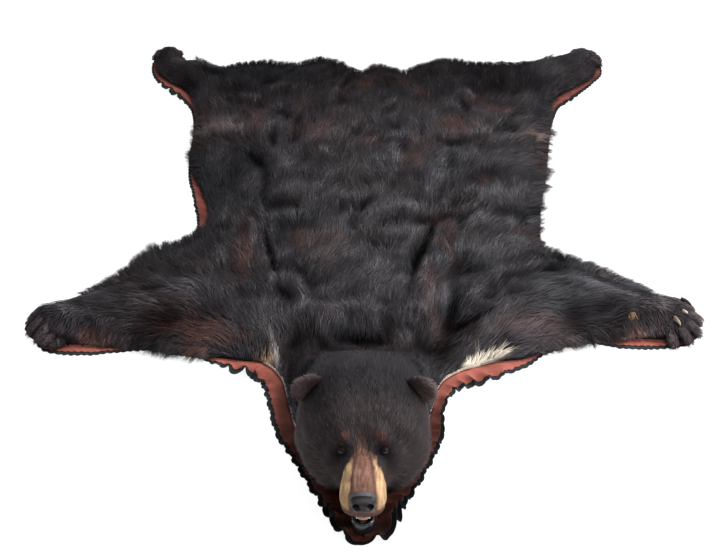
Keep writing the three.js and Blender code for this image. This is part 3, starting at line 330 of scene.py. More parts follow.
MUZZLE_BROWN = (0.230, 0.110, 0.076)
MUZZLE_LIGHT = (0.480, 0.270, 0.200)
MUZZLE_DARK = (0.100, 0.045, 0.030)
MUZZLE_GOLD = np.array([0.68, 0.43, 0.235])
MUZZLE_LINE = (0.060, 0.030, 0.022)
MUZZLE_LOW = (0.17, 0.085, 0.055)
LIP_BROWN = (0.12, 0.065, 0.050)
BROW_RUST = (0.150, 0.062, 0.045)
# Painted shade in the deep sockets of the eyes.
EYE_SOCKET_SHADE = (0.008, 0.0075, 0.009)
# Painted highlight: the grey-blue glint on the lower lids.
LID_GLINT_GREY = (0.045, 0.050, 0.060)
LID_BLACK = np.array([0.010, 0.008, 0.008])
UPPER_LID = np.array([0.014, 0.011, 0.011])
# Painted highlight at the edge of the lower lid.
LOWER_LID_GLINT = np.array([0.060, 0.068, 0.082])
EYE_GLASS = (0.010, 0.007, 0.006)
NOSE_BLACK = np.array([0.0085, 0.0085, 0.0095])
# Painted highlight along the top of the nose.
NOSE_CREST_LIT = np.array([0.062, 0.055, 0.060])
JAW_BLACK = np.array([0.008, 0.010, 0.013])
JAW_HAIR = np.array([0.014, 0.012, 0.012])
TONGUE_RED = (0.09, 0.035, 0.035)
GUM_DARK = np.array([0.035, 0.022, 0.020])
GUM_PINK = np.array([0.34, 0.19, 0.155])
TOOTH_ROOT = np.array([0.50, 0.27, 0.22])
TOOTH_TIP = np.array([0.74, 0.60, 0.44])
HORN_BROWN = np.array([0.16, 0.090, 0.055])
HORN_PALE = np.array([0.80, 0.66, 0.50])
HORN_BLACK = 0.009


# Numbers and curves
def smooth(t):
    """Smooth step from 0 to 1: three times t squared less twice t cubed, with t held between 0 and 1."""
    t = np.clip(t, 0, 1)
    return t * t * (3 - 2 * t)


def blended(a, b, share):
    """a and b mixed, with the given share of b."""
    return a * (1 - share) + b * share


def angles(count):
    """As many angles as asked for, evenly spaced round a full turn."""
    return np.arange(count) / count * 2 * np.pi


def thrice(values):
    """The same value for the root, the middle and the tip of each hair."""
    return np.repeat(values[:, None], 3, axis=1)


def noise(x, y, size_x, size_y, seed):
    """Smooth random field between -1 and 1, with a new random value every size_x by size_y."""
    cells, shift_x, shift_y = 128, 41.37, 37.11
    values = np.random.default_rng(seed).uniform(-1, 1, (cells, cells))
    u = np.asarray(x) / size_x + shift_x
    v = np.asarray(y) / size_y + shift_y
    i = np.floor(u).astype(int)
    j = np.floor(v).astype(int)
    a = smooth(u - i)
    b = smooth(v - j)

    def corner(di, dj):
        """Values at one corner of each point's cell."""
        return values[(i + di) % cells, (j + dj) % cells]

    return blended(blended(corner(0, 0), corner(1, 0), a), blended(corner(0, 1), corner(1, 1), a), b)


def stretch_distance(x, y, x0, y0, x1, y1):
    """Distance from points to the straight stretch between two points."""
    dx, dy = x1 - x0, y1 - y0
    t = np.clip(((x - x0) * dx + (y - y0) * dy) / (dx * dx + dy * dy + 1e-9), 0, 1)
    return np.hypot(x - x0 - t * dx, y - y0 - t * dy)


def stroke(x, y, x0, y0, x1, y1, width):
    """1 on the stretch between two points, falling off to the sides as a bell curve of the given width."""
    return np.exp(-((stretch_distance(x, y, x0, y0, x1, y1) / width) ** 2))


def unit(vectors):
    """Vectors divided by their lengths."""
    return vectors / (np.linalg.norm(vectors, axis=-1, keepdims=True) + 1e-9)


def closed_curve(rows, steps=16):
    """A closed curve through the rows: Catmull-Rom in the first two columns, straight mixing in the others.

    The row number is added as the last column."""
    rows = np.asarray(rows, dtype=float)
    before, after, last = np.roll(rows, 1, 0), np.roll(rows, -1, 0), np.roll(rows, -2, 0)
    t = (np.arange(steps) / steps)[None, :, None]
    r0, r1, r2, r3 = (r[:, None, :] for r in (before, rows, after, last))
    curved = 0.5 * (2 * r1 + (r2 - r0) * t + (2 * r0 - 5 * r1 + 4 * r2 - r3) * t**2
                    + (3 * r1 - r0 - 3 * r2 + r3) * t**3)
    mixed = blended(r1, r2, t)
    both = np.concatenate([curved[..., :2], mixed[..., 2:]], axis=2).reshape(-1, rows.shape[1])
    return np.column_stack([both, np.arange(len(both)) / steps])


def outward(points):
    """Unit normal to the right of a closed counter-clockwise curve."""
    along = np.roll(points, -1, 0) - np.roll(points, 1, 0)
    along /= np.linalg.norm(along, axis=1, keepdims=True)
    return np.column_stack([along[:, 1], -along[:, 0]])


# Meshes and materials
def make_object(name, points, faces, material, colors=None, vectors=None, numbers=None):
    """An object from vertices in the drawing frame and faces that all have as many corners."""
    mesh = bpy.data.meshes.new(name)
    faces = np.asarray(faces, dtype=np.int32)
    count, corners = faces.shape
    mesh.vertices.add(len(points))
    mesh.loops.add(count * corners)
    mesh.polygons.add(count)
    mesh.vertices.foreach_set("co", place(points).ravel())
    mesh.loops.foreach_set("vertex_index", faces.ravel())
    mesh.polygons.foreach_set("loop_start", np.arange(0, count * corners, corners, dtype=np.int32))
    mesh.polygons.foreach_set("use_smooth", np.full(count, True))
    mesh.update(calc_edges=True)
    if colors is not None:
        rgba = np.column_stack([colors, np.ones(len(colors))])
        mesh.attributes.new("tint", "FLOAT_COLOR", "POINT").data.foreach_set("color", rgba.ravel())
    for key, values in (vectors or {}).items():
        mesh.attributes.new(key, "FLOAT_VECTOR", "POINT").data.foreach_set("vector", np.ravel(values))
    for key, values in (numbers or {}).items():
        mesh.attributes.new(key, "FLOAT", "POINT").data.foreach_set("value", np.ravel(values))
    mesh.materials.append(material)
    thing = bpy.data.objects.new(name, mesh)
    bpy.context.collection.objects.link(thing)
    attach(thing, "root")
    return thing


def grid_faces(rows, columns, wrap=False):
    """Quads of a grid of points stored row by row. wrap joins the last column to the first."""
    across = columns if wrap else columns - 1
    r, c = np.meshgrid(np.arange(rows - 1), np.arange(across), indexing="ij")
    r, c = r.ravel(), c.ravel()
    n = (c + 1) % columns
    return np.column_stack([r * columns + c, r * columns + n, (r + 1) * columns + n, (r + 1) * columns + c])


class Nodes:
    """A material and short ways to add and join its nodes."""

    def __init__(self, name, **settings):
        self.material = bpy.data.materials.new(name)
        self.material.use_nodes = True
        self.tree = self.material.node_tree
        self.shader = self.tree.nodes["Principled BSDF"]
        self.set(**settings)

    def join(self, socket, value):
        """Link a socket to another one, or give it a value."""
        if isinstance(value, bpy.types.NodeSocket):
            self.tree.links.new(value, socket)
        else:
            socket.default_value = value

    def set(self, **settings):
        """Values and links of the shader's own sockets, by their names in small letters."""
        for key, value in settings.items():
            self.join(self.shader.inputs[key.replace("_", " ").title().replace("Ior", "IOR")], value)

    def add(self, kind, inputs=None, **settings):
        """A new node with its inputs and its own settings."""
        node = self.tree.nodes.new(kind)
        for key, value in settings.items():
            setattr(node, key, value)
        for key, value in (inputs or {}).items():
            self.join(node.inputs[key], value)
        return node

    def attribute(self, name, output):
        """An attribute of the mesh."""
        return self.add("ShaderNodeAttribute", attribute_name=name).outputs[output]

    def where(self):
        """The place on the piece, in Object coordinates."""
        return self.add("ShaderNodeTexCoord").outputs["Object"]

    def noise(self, scale, detail, roughness):
        """Noise over the piece."""
        inputs = {"Vector": self.where(), "Scale": scale, "Detail": detail, "Roughness": roughness}
        return self.add("ShaderNodeTexNoise", inputs).outputs["Fac"]

    def ramp(self, value, *stops):
        """A colour by a value, from stops of position and colour."""
        node = self.add("ShaderNodeValToRGB", {"Fac": value})
        while len(node.color_ramp.elements) < len(stops):
            node.color_ramp.elements.new(0.5)
        for element, (at, color) in zip(node.color_ramp.elements, stops):
            element.position = at
            element.color = (*color, 1.0)
        return node.outputs["Color"]

    def multiply(self, a, b):
        """Two colours multiplied. Inputs 6 and 7 and output 2 of a Mix node are those for colours."""
        inputs = {0: 1.0, 6: a, 7: b}
        return self.add("ShaderNodeMix", inputs, data_type="RGBA", blend_type="MULTIPLY").outputs[2]

    def bump(self, height, strength, distance):
        """A normal bent by a height. distance is in metres."""
        node = self.add("ShaderNodeBump", {"Height": height, "Strength": strength, "Distance": distance})
        return node.outputs["Normal"]


def fur_material(name, roughness):
    """Hair: colour and gleam of each ribbon, a soft normal of the coat, a highlight drawn across the hair."""
    m = Nodes(name, roughness=roughness, anisotropic=0.7)
    m.set(base_color=m.attribute("tint", "Color"), tangent=m.attribute("across", "Vector"))
    m.set(normal=m.attribute("puff", "Vector"), specular_ior_level=m.attribute("gleam", "Fac"))
    m.set(specular_tint=(0.92, 0.92, 1.0, 1.0))
    return m.material


def felt_material(name, dark, light, fuzz):
    """Wool felt: mottled colour, short matted fibres in the bump, a soft sheen."""
    m = Nodes(name, roughness=0.95, specular_ior_level=0.15)
    mottle = m.noise(26.0, 5.0, 0.7)
    fibres = m.noise(1400.0, 3.0, 0.6)
    color = m.ramp(mottle, (0.32, dark), (0.7, light))
    shade = m.ramp(fibres, (0.3, (0.72, 0.72, 0.72)), (0.75, (1.2, 1.2, 1.2)))
    # The tint of each point darkens the felt: painted shadow round the head, painted shade and highlight in
    # the ruffles at the chin, a darkening towards the rear and a random mottle.
    shaded_and_mottled = m.multiply(color, m.attribute("tint", "Color"))
    m.set(base_color=m.multiply(shaded_and_mottled, shade), normal=m.bump(fibres, 0.5, 0.0006))
    m.set(sheen_weight=fuzz, sheen_roughness=0.6, sheen_tint=(*light, 1.0))
    return m.material


def skin_material(name, roughness, gloss, grain, depth):
    """A plain surface coloured by its tint, with a fine grain in the bump."""
    m = Nodes(name, roughness=roughness, specular_ior_level=gloss)
    m.set(base_color=m.attribute("tint", "Color"), normal=m.bump(m.noise(grain, 4.0, 0.6), 0.6, depth))
    return m.material


BLACK_FELT = felt_material("black_felt_wool", (0.012, 0.019, 0.021), (0.028, 0.040, 0.043), 0.12)
RED_FELT = felt_material("red_felt_wool", (0.225, 0.062, 0.044), (0.410, 0.130, 0.098), 0.15)
COAT = fur_material("coat_hair", 0.46)
FACE = fur_material("face_hair", 0.55)
UNDERCOAT = skin_material("undercoat", 0.9, 0.1, 300.0, 0.004)
LEATHER = skin_material("cut_leather", 0.75, 0.25, 500.0, 0.0006)

# Edge of the skin
EDGE = closed_curve(SKIN + BIB)
EDGE_OUT = outward(EDGE[:, :2])
ON_SKIN = EDGE[:, ROW] <= len(SKIN) - 1
THROAT = np.array([(-127, -508), (-122, NECK_Y), (130, NECK_Y), (133, -508)], dtype=float)
SKIN_LOOP = np.vstack([EDGE[ON_SKIN, :2], THROAT])

# Grid of the plan on which the coat is worked out
STEP = 4.0
GRID_X = np.arange(-852, 864, STEP)
GRID_Y = np.arange(-560, 1172, STEP)
MESH_X, MESH_Y = np.meshgrid(GRID_X, GRID_Y, indexing="ij")


def inside_loop(loop):
    """For each grid point, whether it lies in the closed loop, found by crossings along each grid line."""
    inside = np.zeros(MESH_X.shape, dtype=bool)
    ends = np.roll(loop, -1, 0)
    for j, y in enumerate(GRID_Y):
        cuts = (loop[:, 1] > y) != (ends[:, 1] > y)
        a, b = loop[cuts], ends[cuts]
        crossings = np.sort(a[:, 0] + (y - a[:, 1]) * (b[:, 0] - a[:, 0]) / (b[:, 1] - a[:, 1]))
        inside[:, j] = np.searchsorted(crossings, GRID_X) % 2 == 1
    return inside


def nearest_edge(samples):
    """For each grid point, the nearest sample of the edge and its distance."""
    best = np.zeros(MESH_X.shape, dtype=int)
    distance = np.zeros(MESH_X.shape)
    for i, x in enumerate(GRID_X):
        squared = (x - samples[None, :, 0]) ** 2 + (GRID_Y[:, None] - samples[None, :, 1]) ** 2
        best[i] = squared.argmin(axis=1)
        distance[i] = np.sqrt(squared.min(axis=1))
    return best, distance


SKIN_EDGE = EDGE[ON_SKIN]
SKIN_OUT = EDGE_OUT[ON_SKIN]
NEAREST, DISTANCE = nearest_edge(SKIN_EDGE)
INSIDE = inside_loop(SKIN_LOOP)
OUTWARD = SKIN_OUT[NEAREST]
past_x, past_y = MESH_X - SKIN_EDGE[NEAREST, 0], MESH_Y - SKIN_EDGE[NEAREST, 1]
past_edge = past_x * OUTWARD[..., 0] + past_y * OUTWARD[..., 1]
# Distance inwards from the edge: near it along the edge's own direction, so that it changes evenly.
INSET = np.where(DISTANCE < 10, -past_edge, np.where(INSIDE, DISTANCE, -DISTANCE))
HAIR = SKIN_EDGE[NEAREST, HAIR_PAST]
RIM_HEIGHT = SKIN_EDGE[NEAREST, RIM_UP]


def toe_place(name, toe):
    """Knuckle, heading in radians and reach of one toe."""
    x, y, heading, fan, reach, bow, *_ = PAWS[name]
    if (name, toe) in TURNED_TOES:
        x, y, heading, reach = TURNED_TOES[(name, toe)]
        return x, y, math.radians(heading), reach
    return x, y, math.radians(heading + toe * fan), reach - bow * toe * toe


def toe_lines():
    """Toes of all paws: x0, y0, x1, y1, width, rise."""
    lines = []
    for name, paw in PAWS.items():
        width, rise = paw[6:8]
        for toe in TOES:
            x, y, turn, reach = toe_place(name, toe)
            near, far = reach * 0.5, reach * 0.98
            lines.append((x + near * math.cos(turn), y + near * math.sin(turn),
                          x + far * math.cos(turn), y + far * math.sin(turn), width, rise))
    return lines


def tone_field():
    """Tone over the grid: the strokes of painted light and shade in the table added up, with two sizes of fine
    random mottling.
    """
    tone = np.zeros(MESH_X.shape)
    for x0, y0, x1, y1, width, amount in LIGHT_AND_SHADE_STROKES:
        tone += amount * stroke(MESH_X, MESH_Y, x0, y0, x1, y1, width)
    mottle = 0.35 * noise(MESH_X, MESH_Y, 34, 52, 6) + 0.30 * noise(MESH_X, MESH_Y, 15, 34, 7)
    return tone + mottle


def blurred(field, rounds):
    """A field in which each point is mixed with its four neighbours, as many times as asked for."""
    for _ in range(rounds):
        padded = np.pad(field, 1, mode="edge")
        field = (padded[:-2, 1:-1] + padded[2:, 1:-1] + padded[1:-1, :-2] + padded[1:-1, 2:] + 2 * field) / 6
    return field


def paw_share(x, y):
    """1 on the paws and 0 on the legs."""
    share = np.zeros(np.shape(x))
    for px, py, *_ in PAWS.values():
        share = np.maximum(share, smooth((138 - np.hypot(x - px, y - py)) / 55))
    return share


def coat_height():
    """Top of the coat over the grid: pile, folds, tufts and creases, toes and the arch of the neck.

    The pile comes down to the rim over RIM_WIDTH. The arch is a rounded half ellipse across the neck that
    sinks into the back, joined to the pile as the root of the sum of their squares."""
    x, y = MESH_X, MESH_Y
    pile = PILE + 3 * np.sin(x / 37 + 1.3 * np.sin(y / 61)) * np.cos(y / 43 + 0.8 * np.sin(x / 71))
    for x0, y0, x1, y1, width, rise in FOLDS:
        pile = pile + rise * stroke(x, y, x0, y0, x1, y1, width)
    trunk = smooth((INSET - 15) / 50) * (1 - paw_share(x, y))
    warp = 25 * noise(x, y, 130, 130, 3)
    rolls = 4.0 * noise(x + warp, y + warp, 80, 60, 4) + 2.5 * noise(x - warp, y, 40, 34, 5)
    pile = pile + (rolls + 5.0 * np.clip(TONE, -3.2, 1.2)) * trunk
    to_rim = INSET + HAIR * 0.8
    rim = RIM_HEIGHT * 1.1
    body = rim + (pile - rim) * smooth(to_rim / RIM_WIDTH)
    for x0, y0, x1, y1, width, rise in toe_lines():
        body = body + rise * 0.9 * np.exp(-((stretch_distance(x, y, x0, y0, x1, y1) / width * 1.1) ** 2))
    away = np.clip((y - NECK_Y) / 215, 0, 1)
    half = NECK_HALF + 16 * smooth((y - NECK_Y + 20) / 40) + 70 * away
    share = np.clip(np.abs(x - NECK_X) / half, 0, 1)
    arch_height, power = 160, 2.4
    arch = arch_height * (1 - smooth(away)) * (1 - share**power) ** (1 / power) * (y > NECK_Y - 60)
    top = np.hypot(np.maximum(body, 2), arch)
    outside = np.clip(-INSET / np.maximum(HAIR, 6), 0, 2)
    top = np.minimum(top, RIM_HEIGHT * 1.3 + 4 * np.maximum(INSET, 0))
    throat = smooth((-405 - y) / 40) * smooth((np.abs(x - NECK_X) - 98) / 14)
    top = top * (1 - throat) + np.minimum(top, 9 + 0.8 * np.maximum(INSET, 0)) * throat
    return PELT_BASE + top * (1 - 0.4 * outside * (INSET < 0))


# Fields over the grid: tone, top of the coat, how far it stands above or below what is round it, the light
# and shade that follow from both, depth of the hair, the ground below it, and the way the coat faces. That
# light
# and shade is painted: it multiplies the colour and gleam of the hair, darker in creases and hollows and
# lighter on lit tufts and raised parts.
TONE = tone_field()
TOP = blurred(coat_height(), 1)
HOLLOW = (TOP - blurred(TOP, 70)) * (0.15 + 0.85 * smooth((INSET - 15) / 70))
SHADE = np.exp2(np.clip(TONE, -4.5, 1.1) * 0.85 + np.clip(HOLLOW, -14, 8) / 16)
DEPTH = (15 - 10 * paw_share(MESH_X, MESH_Y)) * smooth(INSET / 40 + 0.25)
GROUND = np.minimum(blurred(TOP, 4), PELT_BASE + RIM_HEIGHT + 3 * np.maximum(INSET, 0)) - DEPTH
GROUND = np.maximum(PELT_BASE + 0.5, GROUND)
slope_x, slope_y = np.gradient(TOP, STEP) * (0.25 + 0.75 * smooth(INSET / 70))
NORMAL = unit(np.stack([-slope_x, -slope_y, np.ones_like(TOP)], axis=-1))


def at(field, x, y):
    """Value of a grid field at points, mixed between the four nearest grid points."""
    u = np.clip((x - GRID_X[0]) / STEP, 0, len(GRID_X) - 1.001)
    v = np.clip((y - GRID_Y[0]) / STEP, 0, len(GRID_Y) - 1.001)
    i, j = u.astype(int), v.astype(int)
    a, b = u - i, v - j
    if field.ndim == 3:
        a, b = a[:, None], b[:, None]
    low = blended(field[i, j], field[i + 1, j], a)
    high = blended(field[i, j + 1], field[i + 1, j + 1], a)
    return blended(low, high, b)


# Felts
def flat_fill(loop, inner=None):
    """Points and triangles that fill a closed curve in the plan, with free points inside it."""
    plan = [Vector(p) for p in (loop if inner is None else np.vstack([loop, inner]))]
    only_inside, closeness = 1, 1e-5
    made = delaunay_2d_cdt(plan, [], [list(range(len(loop)))], only_inside, closeness)
    points = np.array([tuple(v) for v in made[0]])
    return points, np.array([f for f in made[2] if len(f) == 3])


def felt_object(name, reach_column, base, lift_share, material):
    """A felt: rings of points round the edge, from inside the seam out to the pinked edge, and a flat inside.

    The pinking is the absolute value of a sine along the edge. Ruffles rise as one less a cosine, swing along
    the edge as a sine, and draw it in as they rise. A painted shadow darkens the felt round the head and chin,
    painted shade and highlight band the ruffles at the chin, and the felt is darker towards the rear."""
    edge = closed_curve(SKIN + BIB, steps=21)
    out = outward(edge[:, :2])
    steps = np.hypot(*(np.roll(edge[:, :2], -1, 0) - edge[:, :2]).T)
    arc = np.concatenate([[0], np.cumsum(steps)[:-1]])
    perimeter = steps.sum()
    teeth = round(perimeter / PINK_PITCH)
    pinking = PINK_DEPTH * (1 - np.abs(np.sin(np.pi * teeth * arc / perimeter)) ** 0.7)
    hair, ruffle, black = edge[:, HAIR_PAST], edge[:, RUFFLED], edge[:, BLACK_PAST]
    start = np.minimum(hair * 1.3 + 3, edge[:, RED_PAST] - 9)
    phase = 2 * np.pi * arc / RUFFLE_LENGTH
    uneven = phase * 1.45 + 1.1 * np.sin(phase * 0.31)
    wave = 0.5 - 0.5 * np.cos(uneven + 0.6)
    sway = 14.0 * np.sin(uneven + 0.1) * np.clip(ruffle / 16, 0, 1)
    along = np.column_stack([-out[:, 1], out[:, 0]])
    shares = np.array([-0.5, 0.0, 0.2, 0.4, 0.6, 0.8, 0.93, 1.0])
    rings = []
    for share in shares:
        edge_reach = edge[:, reach_column] - pinking
        reach = start + (edge_reach - start) * share if share >= 0 else start - 14
        climb = np.clip((reach - start) / (black - start), 0, 1.2)
        lift = 2.1 * ruffle * wave * climb**1.2 * lift_share
        pull = 1 - 0.24 * wave * climb * np.clip(ruffle / 12, 0, 1)
        xy = edge[:, :2] + out * (reach * pull)[:, None] + along * (sway * climb**2)[:, None]
        ripple = 1.6 * noise(arc, reach, 19, 24, 9) * np.clip(share * 1.6, 0, 1)
        rings.append(np.column_stack([xy, base + FELT / 2 + lift + np.abs(ripple)]))
    count = len(edge)
    quads = grid_faces(len(shares), count, wrap=True)
    strip = np.concatenate([quads[:, [0, 1, 2]], quads[:, [0, 2, 3]]])
    # The flat inside shares the innermost ring. Points that the filling adds come after all rings.
    fill, inside = flat_fill(rings[0][:, :2])
    extra = np.column_stack([fill[count:], np.full(len(fill) - count, base + FELT / 2)])
    points = np.vstack(rings + [extra])
    inside = np.where(inside >= count, inside + len(points) - len(fill), inside)
    # Painted shade in the troughs and painted highlight on the crests of the ruffles at the chin.
    folded = np.clip((ruffle - 12) / 4, 0, 1)
    low = np.tile(1 + folded * (1.5 * wave**2 - 0.85), len(shares))
    low = np.concatenate([low, np.ones(len(extra))])
    x, y = points[:, 0], points[:, 1]
    # Painted shadow of the head on the felt round it, reaching further back on the left.
    darkens_from = np.where(x < HEAD_X, -300, -370)
    head_shadow = smooth((darkens_from - y) / 110) * smooth((190 - np.abs(x - HEAD_X)) / 60 + 0.6)
    # Darker towards the rear.
    toward_rear = smooth((y + 60) / 160)
    shade_and_mottle = (1 - 0.80 * head_shadow) * (1 - 0.58 * toward_rear) * low * (1 + 0.25 * noise(x, y, 34, 34, 10))
    thing = make_object(name, points, np.vstack([strip, inside]), material, thrice(shade_and_mottle))
    solid = thing.modifiers.new("thickness", "SOLIDIFY")
    solid.thickness = FELT / 1000
    solid.offset = 0
    return thing


black_felt = felt_object("pinked_black_felt", BLACK_PAST, 0.0, 1.0, BLACK_FELT)
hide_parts("black_felt")
red_felt = felt_object("pinked_red_felt", RED_PAST, RED_BASE, 1.15, RED_FELT)
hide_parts("red_felt")


# Colour of the coat
def coat_color(x, y):
    """Colour of the coat in the plan: near black, with the patches of the table broken up by noise."""
    color = np.tile(FUR_BLACK, (len(x), 1)) * (1 + 0.2 * noise(x, y, 60, 60, 21))[:, None]
    warm = smooth(0.5 + 0.9 * noise(x, y, 120, 90, 22))[:, None]
    color = color * (1 - warm * 0.35) + WARM_BLACK * warm * 0.35
    for px, py, half_x, half_y, turn, strength, tint in PATCHES:
        far = 1.8 * (half_x + half_y)
        near = (np.abs(x - px) < far) & (np.abs(y - py) < far)
        if not near.any():
            continue
        c, s = math.cos(math.radians(turn)), math.sin(math.radians(turn))
        at_x, at_y = x[near], y[near]
        dx, dy = at_x - px, at_y - py
        rough = 1.0 if strength < 1 else 0.25
        ragged = 1 + rough * (0.35 * noise(at_x, at_y, 12, 26, 23) + 0.25 * noise(at_x, at_y, 5, 9, 24))
        reach = np.hypot((dx * c + dy * s) / half_x, (dy * c - dx * s) / half_y) * ragged
        share = strength * smooth(1.4 - reach)[:, None]
        color[near] = blended(color[near], np.array(tint), share)
    return color


# Ribbons of hair
def ribbons(name, spine, across, puff, colors, widths, gleam, material, fade=(0.5, 1.0, 1.15)):
    """Hair: each ribbon has a root, a middle and a pointed tip, three triangles in all.

    spine is (n, 3, 3), across (n, 3), puff (n, 3, 3), colors (n, 3, 3), widths (n,) and gleam (n, 3).
    fade is the brightness of root, middle and tip: a painted shade that darkens the roots."""
    n = len(spine)
    half = across * (widths / 2)[:, None]
    root, middle, tip = spine[:, 0], spine[:, 1], spine[:, 2]
    points = np.stack([root - half, root + half, middle - half * 0.85, middle + half * 0.85, tip], axis=1)
    first = (np.arange(n) * 5)[:, None]
    faces = np.concatenate([first + [0, 1, 3], first + [0, 3, 2], first + [2, 3, 4]], axis=1).reshape(-1, 3)
    corner = [0, 0, 1, 1, 2]
    tint = (colors * np.array(fade)[None, :, None])[:, corner].reshape(-1, 3)
    vectors = {"puff": puff[:, corner].reshape(-1, 3), "across": np.repeat(across, 5, axis=0)}
    shine = (gleam * np.array(fade)[None, :])[:, corner]
    return make_object(name, points.reshape(-1, 3), faces, material, tint, vectors, {"gleam": shine})


def clumps(x, y, size, seed):
    """The nearest of one random centre per cell: its place and two random numbers of its own."""
    cells = 256
    random = np.random.default_rng(seed).uniform(0, 1, (cells, cells, 4))
    i, j = np.floor(x / size).astype(int), np.floor(y / size).astype(int)
    best = np.full(len(x), np.inf)
    found = np.zeros((len(x), 4))
    for di in (-1, 0, 1):
        for dj in (-1, 0, 1):
            own = random[(i + di) % cells, (j + dj) % cells]
            cx, cy = (i + di + own[:, 0]) * size, (j + dj + own[:, 1]) * size
            distance = (cx - x) ** 2 + (cy - y) ** 2
            nearer = distance < best
            best = np.where(nearer, distance, best)
            found[nearer] = np.column_stack([cx, cy, own[:, 2], own[:, 3]])[nearer]
    return found


def flow_at(x, y):
    """Direction of the hair, mixed from the rows of FLOW by how near they are."""
    weights = 1 / (((x[:, None] - FLOW[:, 0]) ** 2 + (y[:, None] - FLOW[:, 1]) ** 2) / 1e4 + 0.05) ** 2
    return unit(weights @ FLOW[:, 2:] / weights.sum(axis=1, keepdims=True))


def turned(directions, by):
    """Directions in the plan turned by angles."""
    c, s = np.cos(by), np.sin(by)
    dx, dy = directions[:, 0], directions[:, 1]
    return np.column_stack([dx * c - dy * s, dx * s + dy * c])


def coat_roots(spacing):
    """Points on the skin, one per jittered cell."""
    gx, gy = np.meshgrid(np.arange(-830, 840, spacing), np.arange(-540, 1140, spacing), indexing="ij")
    x = (gx + rng.uniform(0, spacing, gx.shape)).ravel()
    y = (gy + rng.uniform(0, spacing, gx.shape)).ravel()
    keep = (at(INSET, x, y) > -1) & (at(INSIDE.astype(float), x, y) > 0.4)
    return x[keep], y[keep]


def coat_strands(x, y):
    """Ribbons for the coat: each starts on the ground of the coat, leans along the flow and follows the top.

    Hair gathers towards the nearest centres of two sizes of tuft, takes its colour at the root and its painted
    light and shade from where each of its points lies. It is shorter on paws, at the rim and on pale patches."""
    n = len(x)
    inset, hair, on_paw = at(INSET, x, y), at(HAIR, x, y), paw_share(x, y)
    flow = flow_at(x, y)
    fine = clumps(x, y, 8.0, 31)
    lighter = 1 + on_paw * np.where(y < 300, 1.0, 0.15)
    coarse = clumps(x + 6 * noise(x, y, 30, 30, 7), y, 34.0, 32)
    angle = 0.28 * noise(x, y, 90, 90, 33) + 0.16 * noise(x, y, 34, 34, 34)
    angle = angle + (coarse[:, 2] - 0.5) * 0.45 + (fine[:, 2] - 0.5) * 0.28 + rng.normal(0, 0.09, n)
    direction = turned(flow, angle * (1 - 0.6 * on_paw))
    near = np.clip(inset, 0, None)
    forward = (direction * unit(at(OUTWARD, x, y))).sum(axis=1)
    long = (56 - 42 * on_paw) * rng.uniform(0.75, 1.2, n) * (0.85 + 0.3 * coarse[:, 3])
    limit = near / np.clip(forward, 0.25, 1) + hair * 1.1 + 3
    long = np.minimum(long, np.where(forward > 0.1, limit * rng.uniform(0.8, 1.05, n), long))
    long = np.where(near < 25, np.minimum(long, 18 + hair * 1.3 + near), long)
    tint = coat_color(x, y)
    pale = 0.22
    long = np.where(tint[:, 0] > pale, long * 0.6, long)
    # Round the cream patch at the right crook, dark hair that would lie over it is cut short.
    beside = (np.abs(x - 280) < 110) & (np.abs(y + 300) < 90)
    ahead = np.column_stack([x, y])[beside] + direction[beside] * long[beside, None]
    over = (coat_color(ahead[:, 0], ahead[:, 1])[:, 0] > pale) & (tint[beside, 0] < pale)
    long[beside] = np.where(over, long[beside] * 0.35, long[beside])
    bend = rng.normal(0, 0.10, n) + 0.25 * noise(x, y, 60, 60, 35)
    gather = (fine[:, :2] - np.column_stack([x, y])) * 0.45 + (coarse[:, :2] - np.column_stack([x, y])) * 0.12
    loose = 1 - on_paw
    lifted = rng.uniform(0.72, 1.15, n) + 0.3 * (coarse[:, 3] - 0.5)
    spine, shade = np.zeros((n, 3, 3)), np.zeros((n, 3))
    for k, (t, up) in enumerate(((0.0, 0.0), (0.45, 0.78), (1.0, 1.0))):
        step = turned(direction, bend * t)
        px = x + step[:, 0] * long * t + gather[:, 0] * t * loose
        py = y + step[:, 1] * long * t + gather[:, 1] * t * loose
        ground, top = at(GROUND, px, py), at(TOP, px, py)
        spine[:, k] = np.column_stack([px, py, ground + (top - ground) * up * lifted])
        shade[:, k] = at(SHADE, px, py)
    normals = at(NORMAL, x, y)
    lean = unit(spine[:, 2] - spine[:, 0])
    across = unit(np.cross(normals, lean))
    across = unit(across + normals * rng.normal(0, 0.2, n)[:, None])
    own = unit(np.cross(lean, across))
    own = own * np.sign((own * normals).sum(axis=1))[:, None]
    side = np.column_stack([x - fine[:, 0], y - fine[:, 1], np.zeros(n)]) / 8
    soft = unit(normals * 0.6 + own * 0.5 + side * 0.25 + rng.normal(0, 0.07, (n, 3)))
    puff = np.stack([soft, soft, unit(soft + lean * 0.3)], axis=1)
    own_tone = rng.uniform(0.72, 1.28, n) * (0.84 + 0.32 * fine[:, 3]) * (0.86 + 0.28 * coarse[:, 2])
    color = tint[:, None, :] * (lighter[:, None] * own_tone[:, None] * shade)[:, :, None]
    gleam = np.clip(0.22 * own_tone[:, None] * shade, 0, 1) * (1 - 0.6 * on_paw * (y > 300))[:, None]
    width = 1.5 * rng.uniform(0.7, 1.3, n) * (1 - 0.2 * on_paw)
    return spine, across, puff, color, width, gleam


def grow_coat():
    """The coat in four pieces of hair, split along the rug."""
    x, y = coat_roots(COAT_SPACING)
    order = np.argsort(y)
    x, y = x[order], y[order]
    parts = 4
    for k in range(parts):
        cut = slice(len(x) * k // parts, len(x) * (k + 1) // parts)
        hair = ribbons(f"coat_hair_{k + 1}", *coat_strands(x[cut], y[cut]), COAT)


grow_coat()


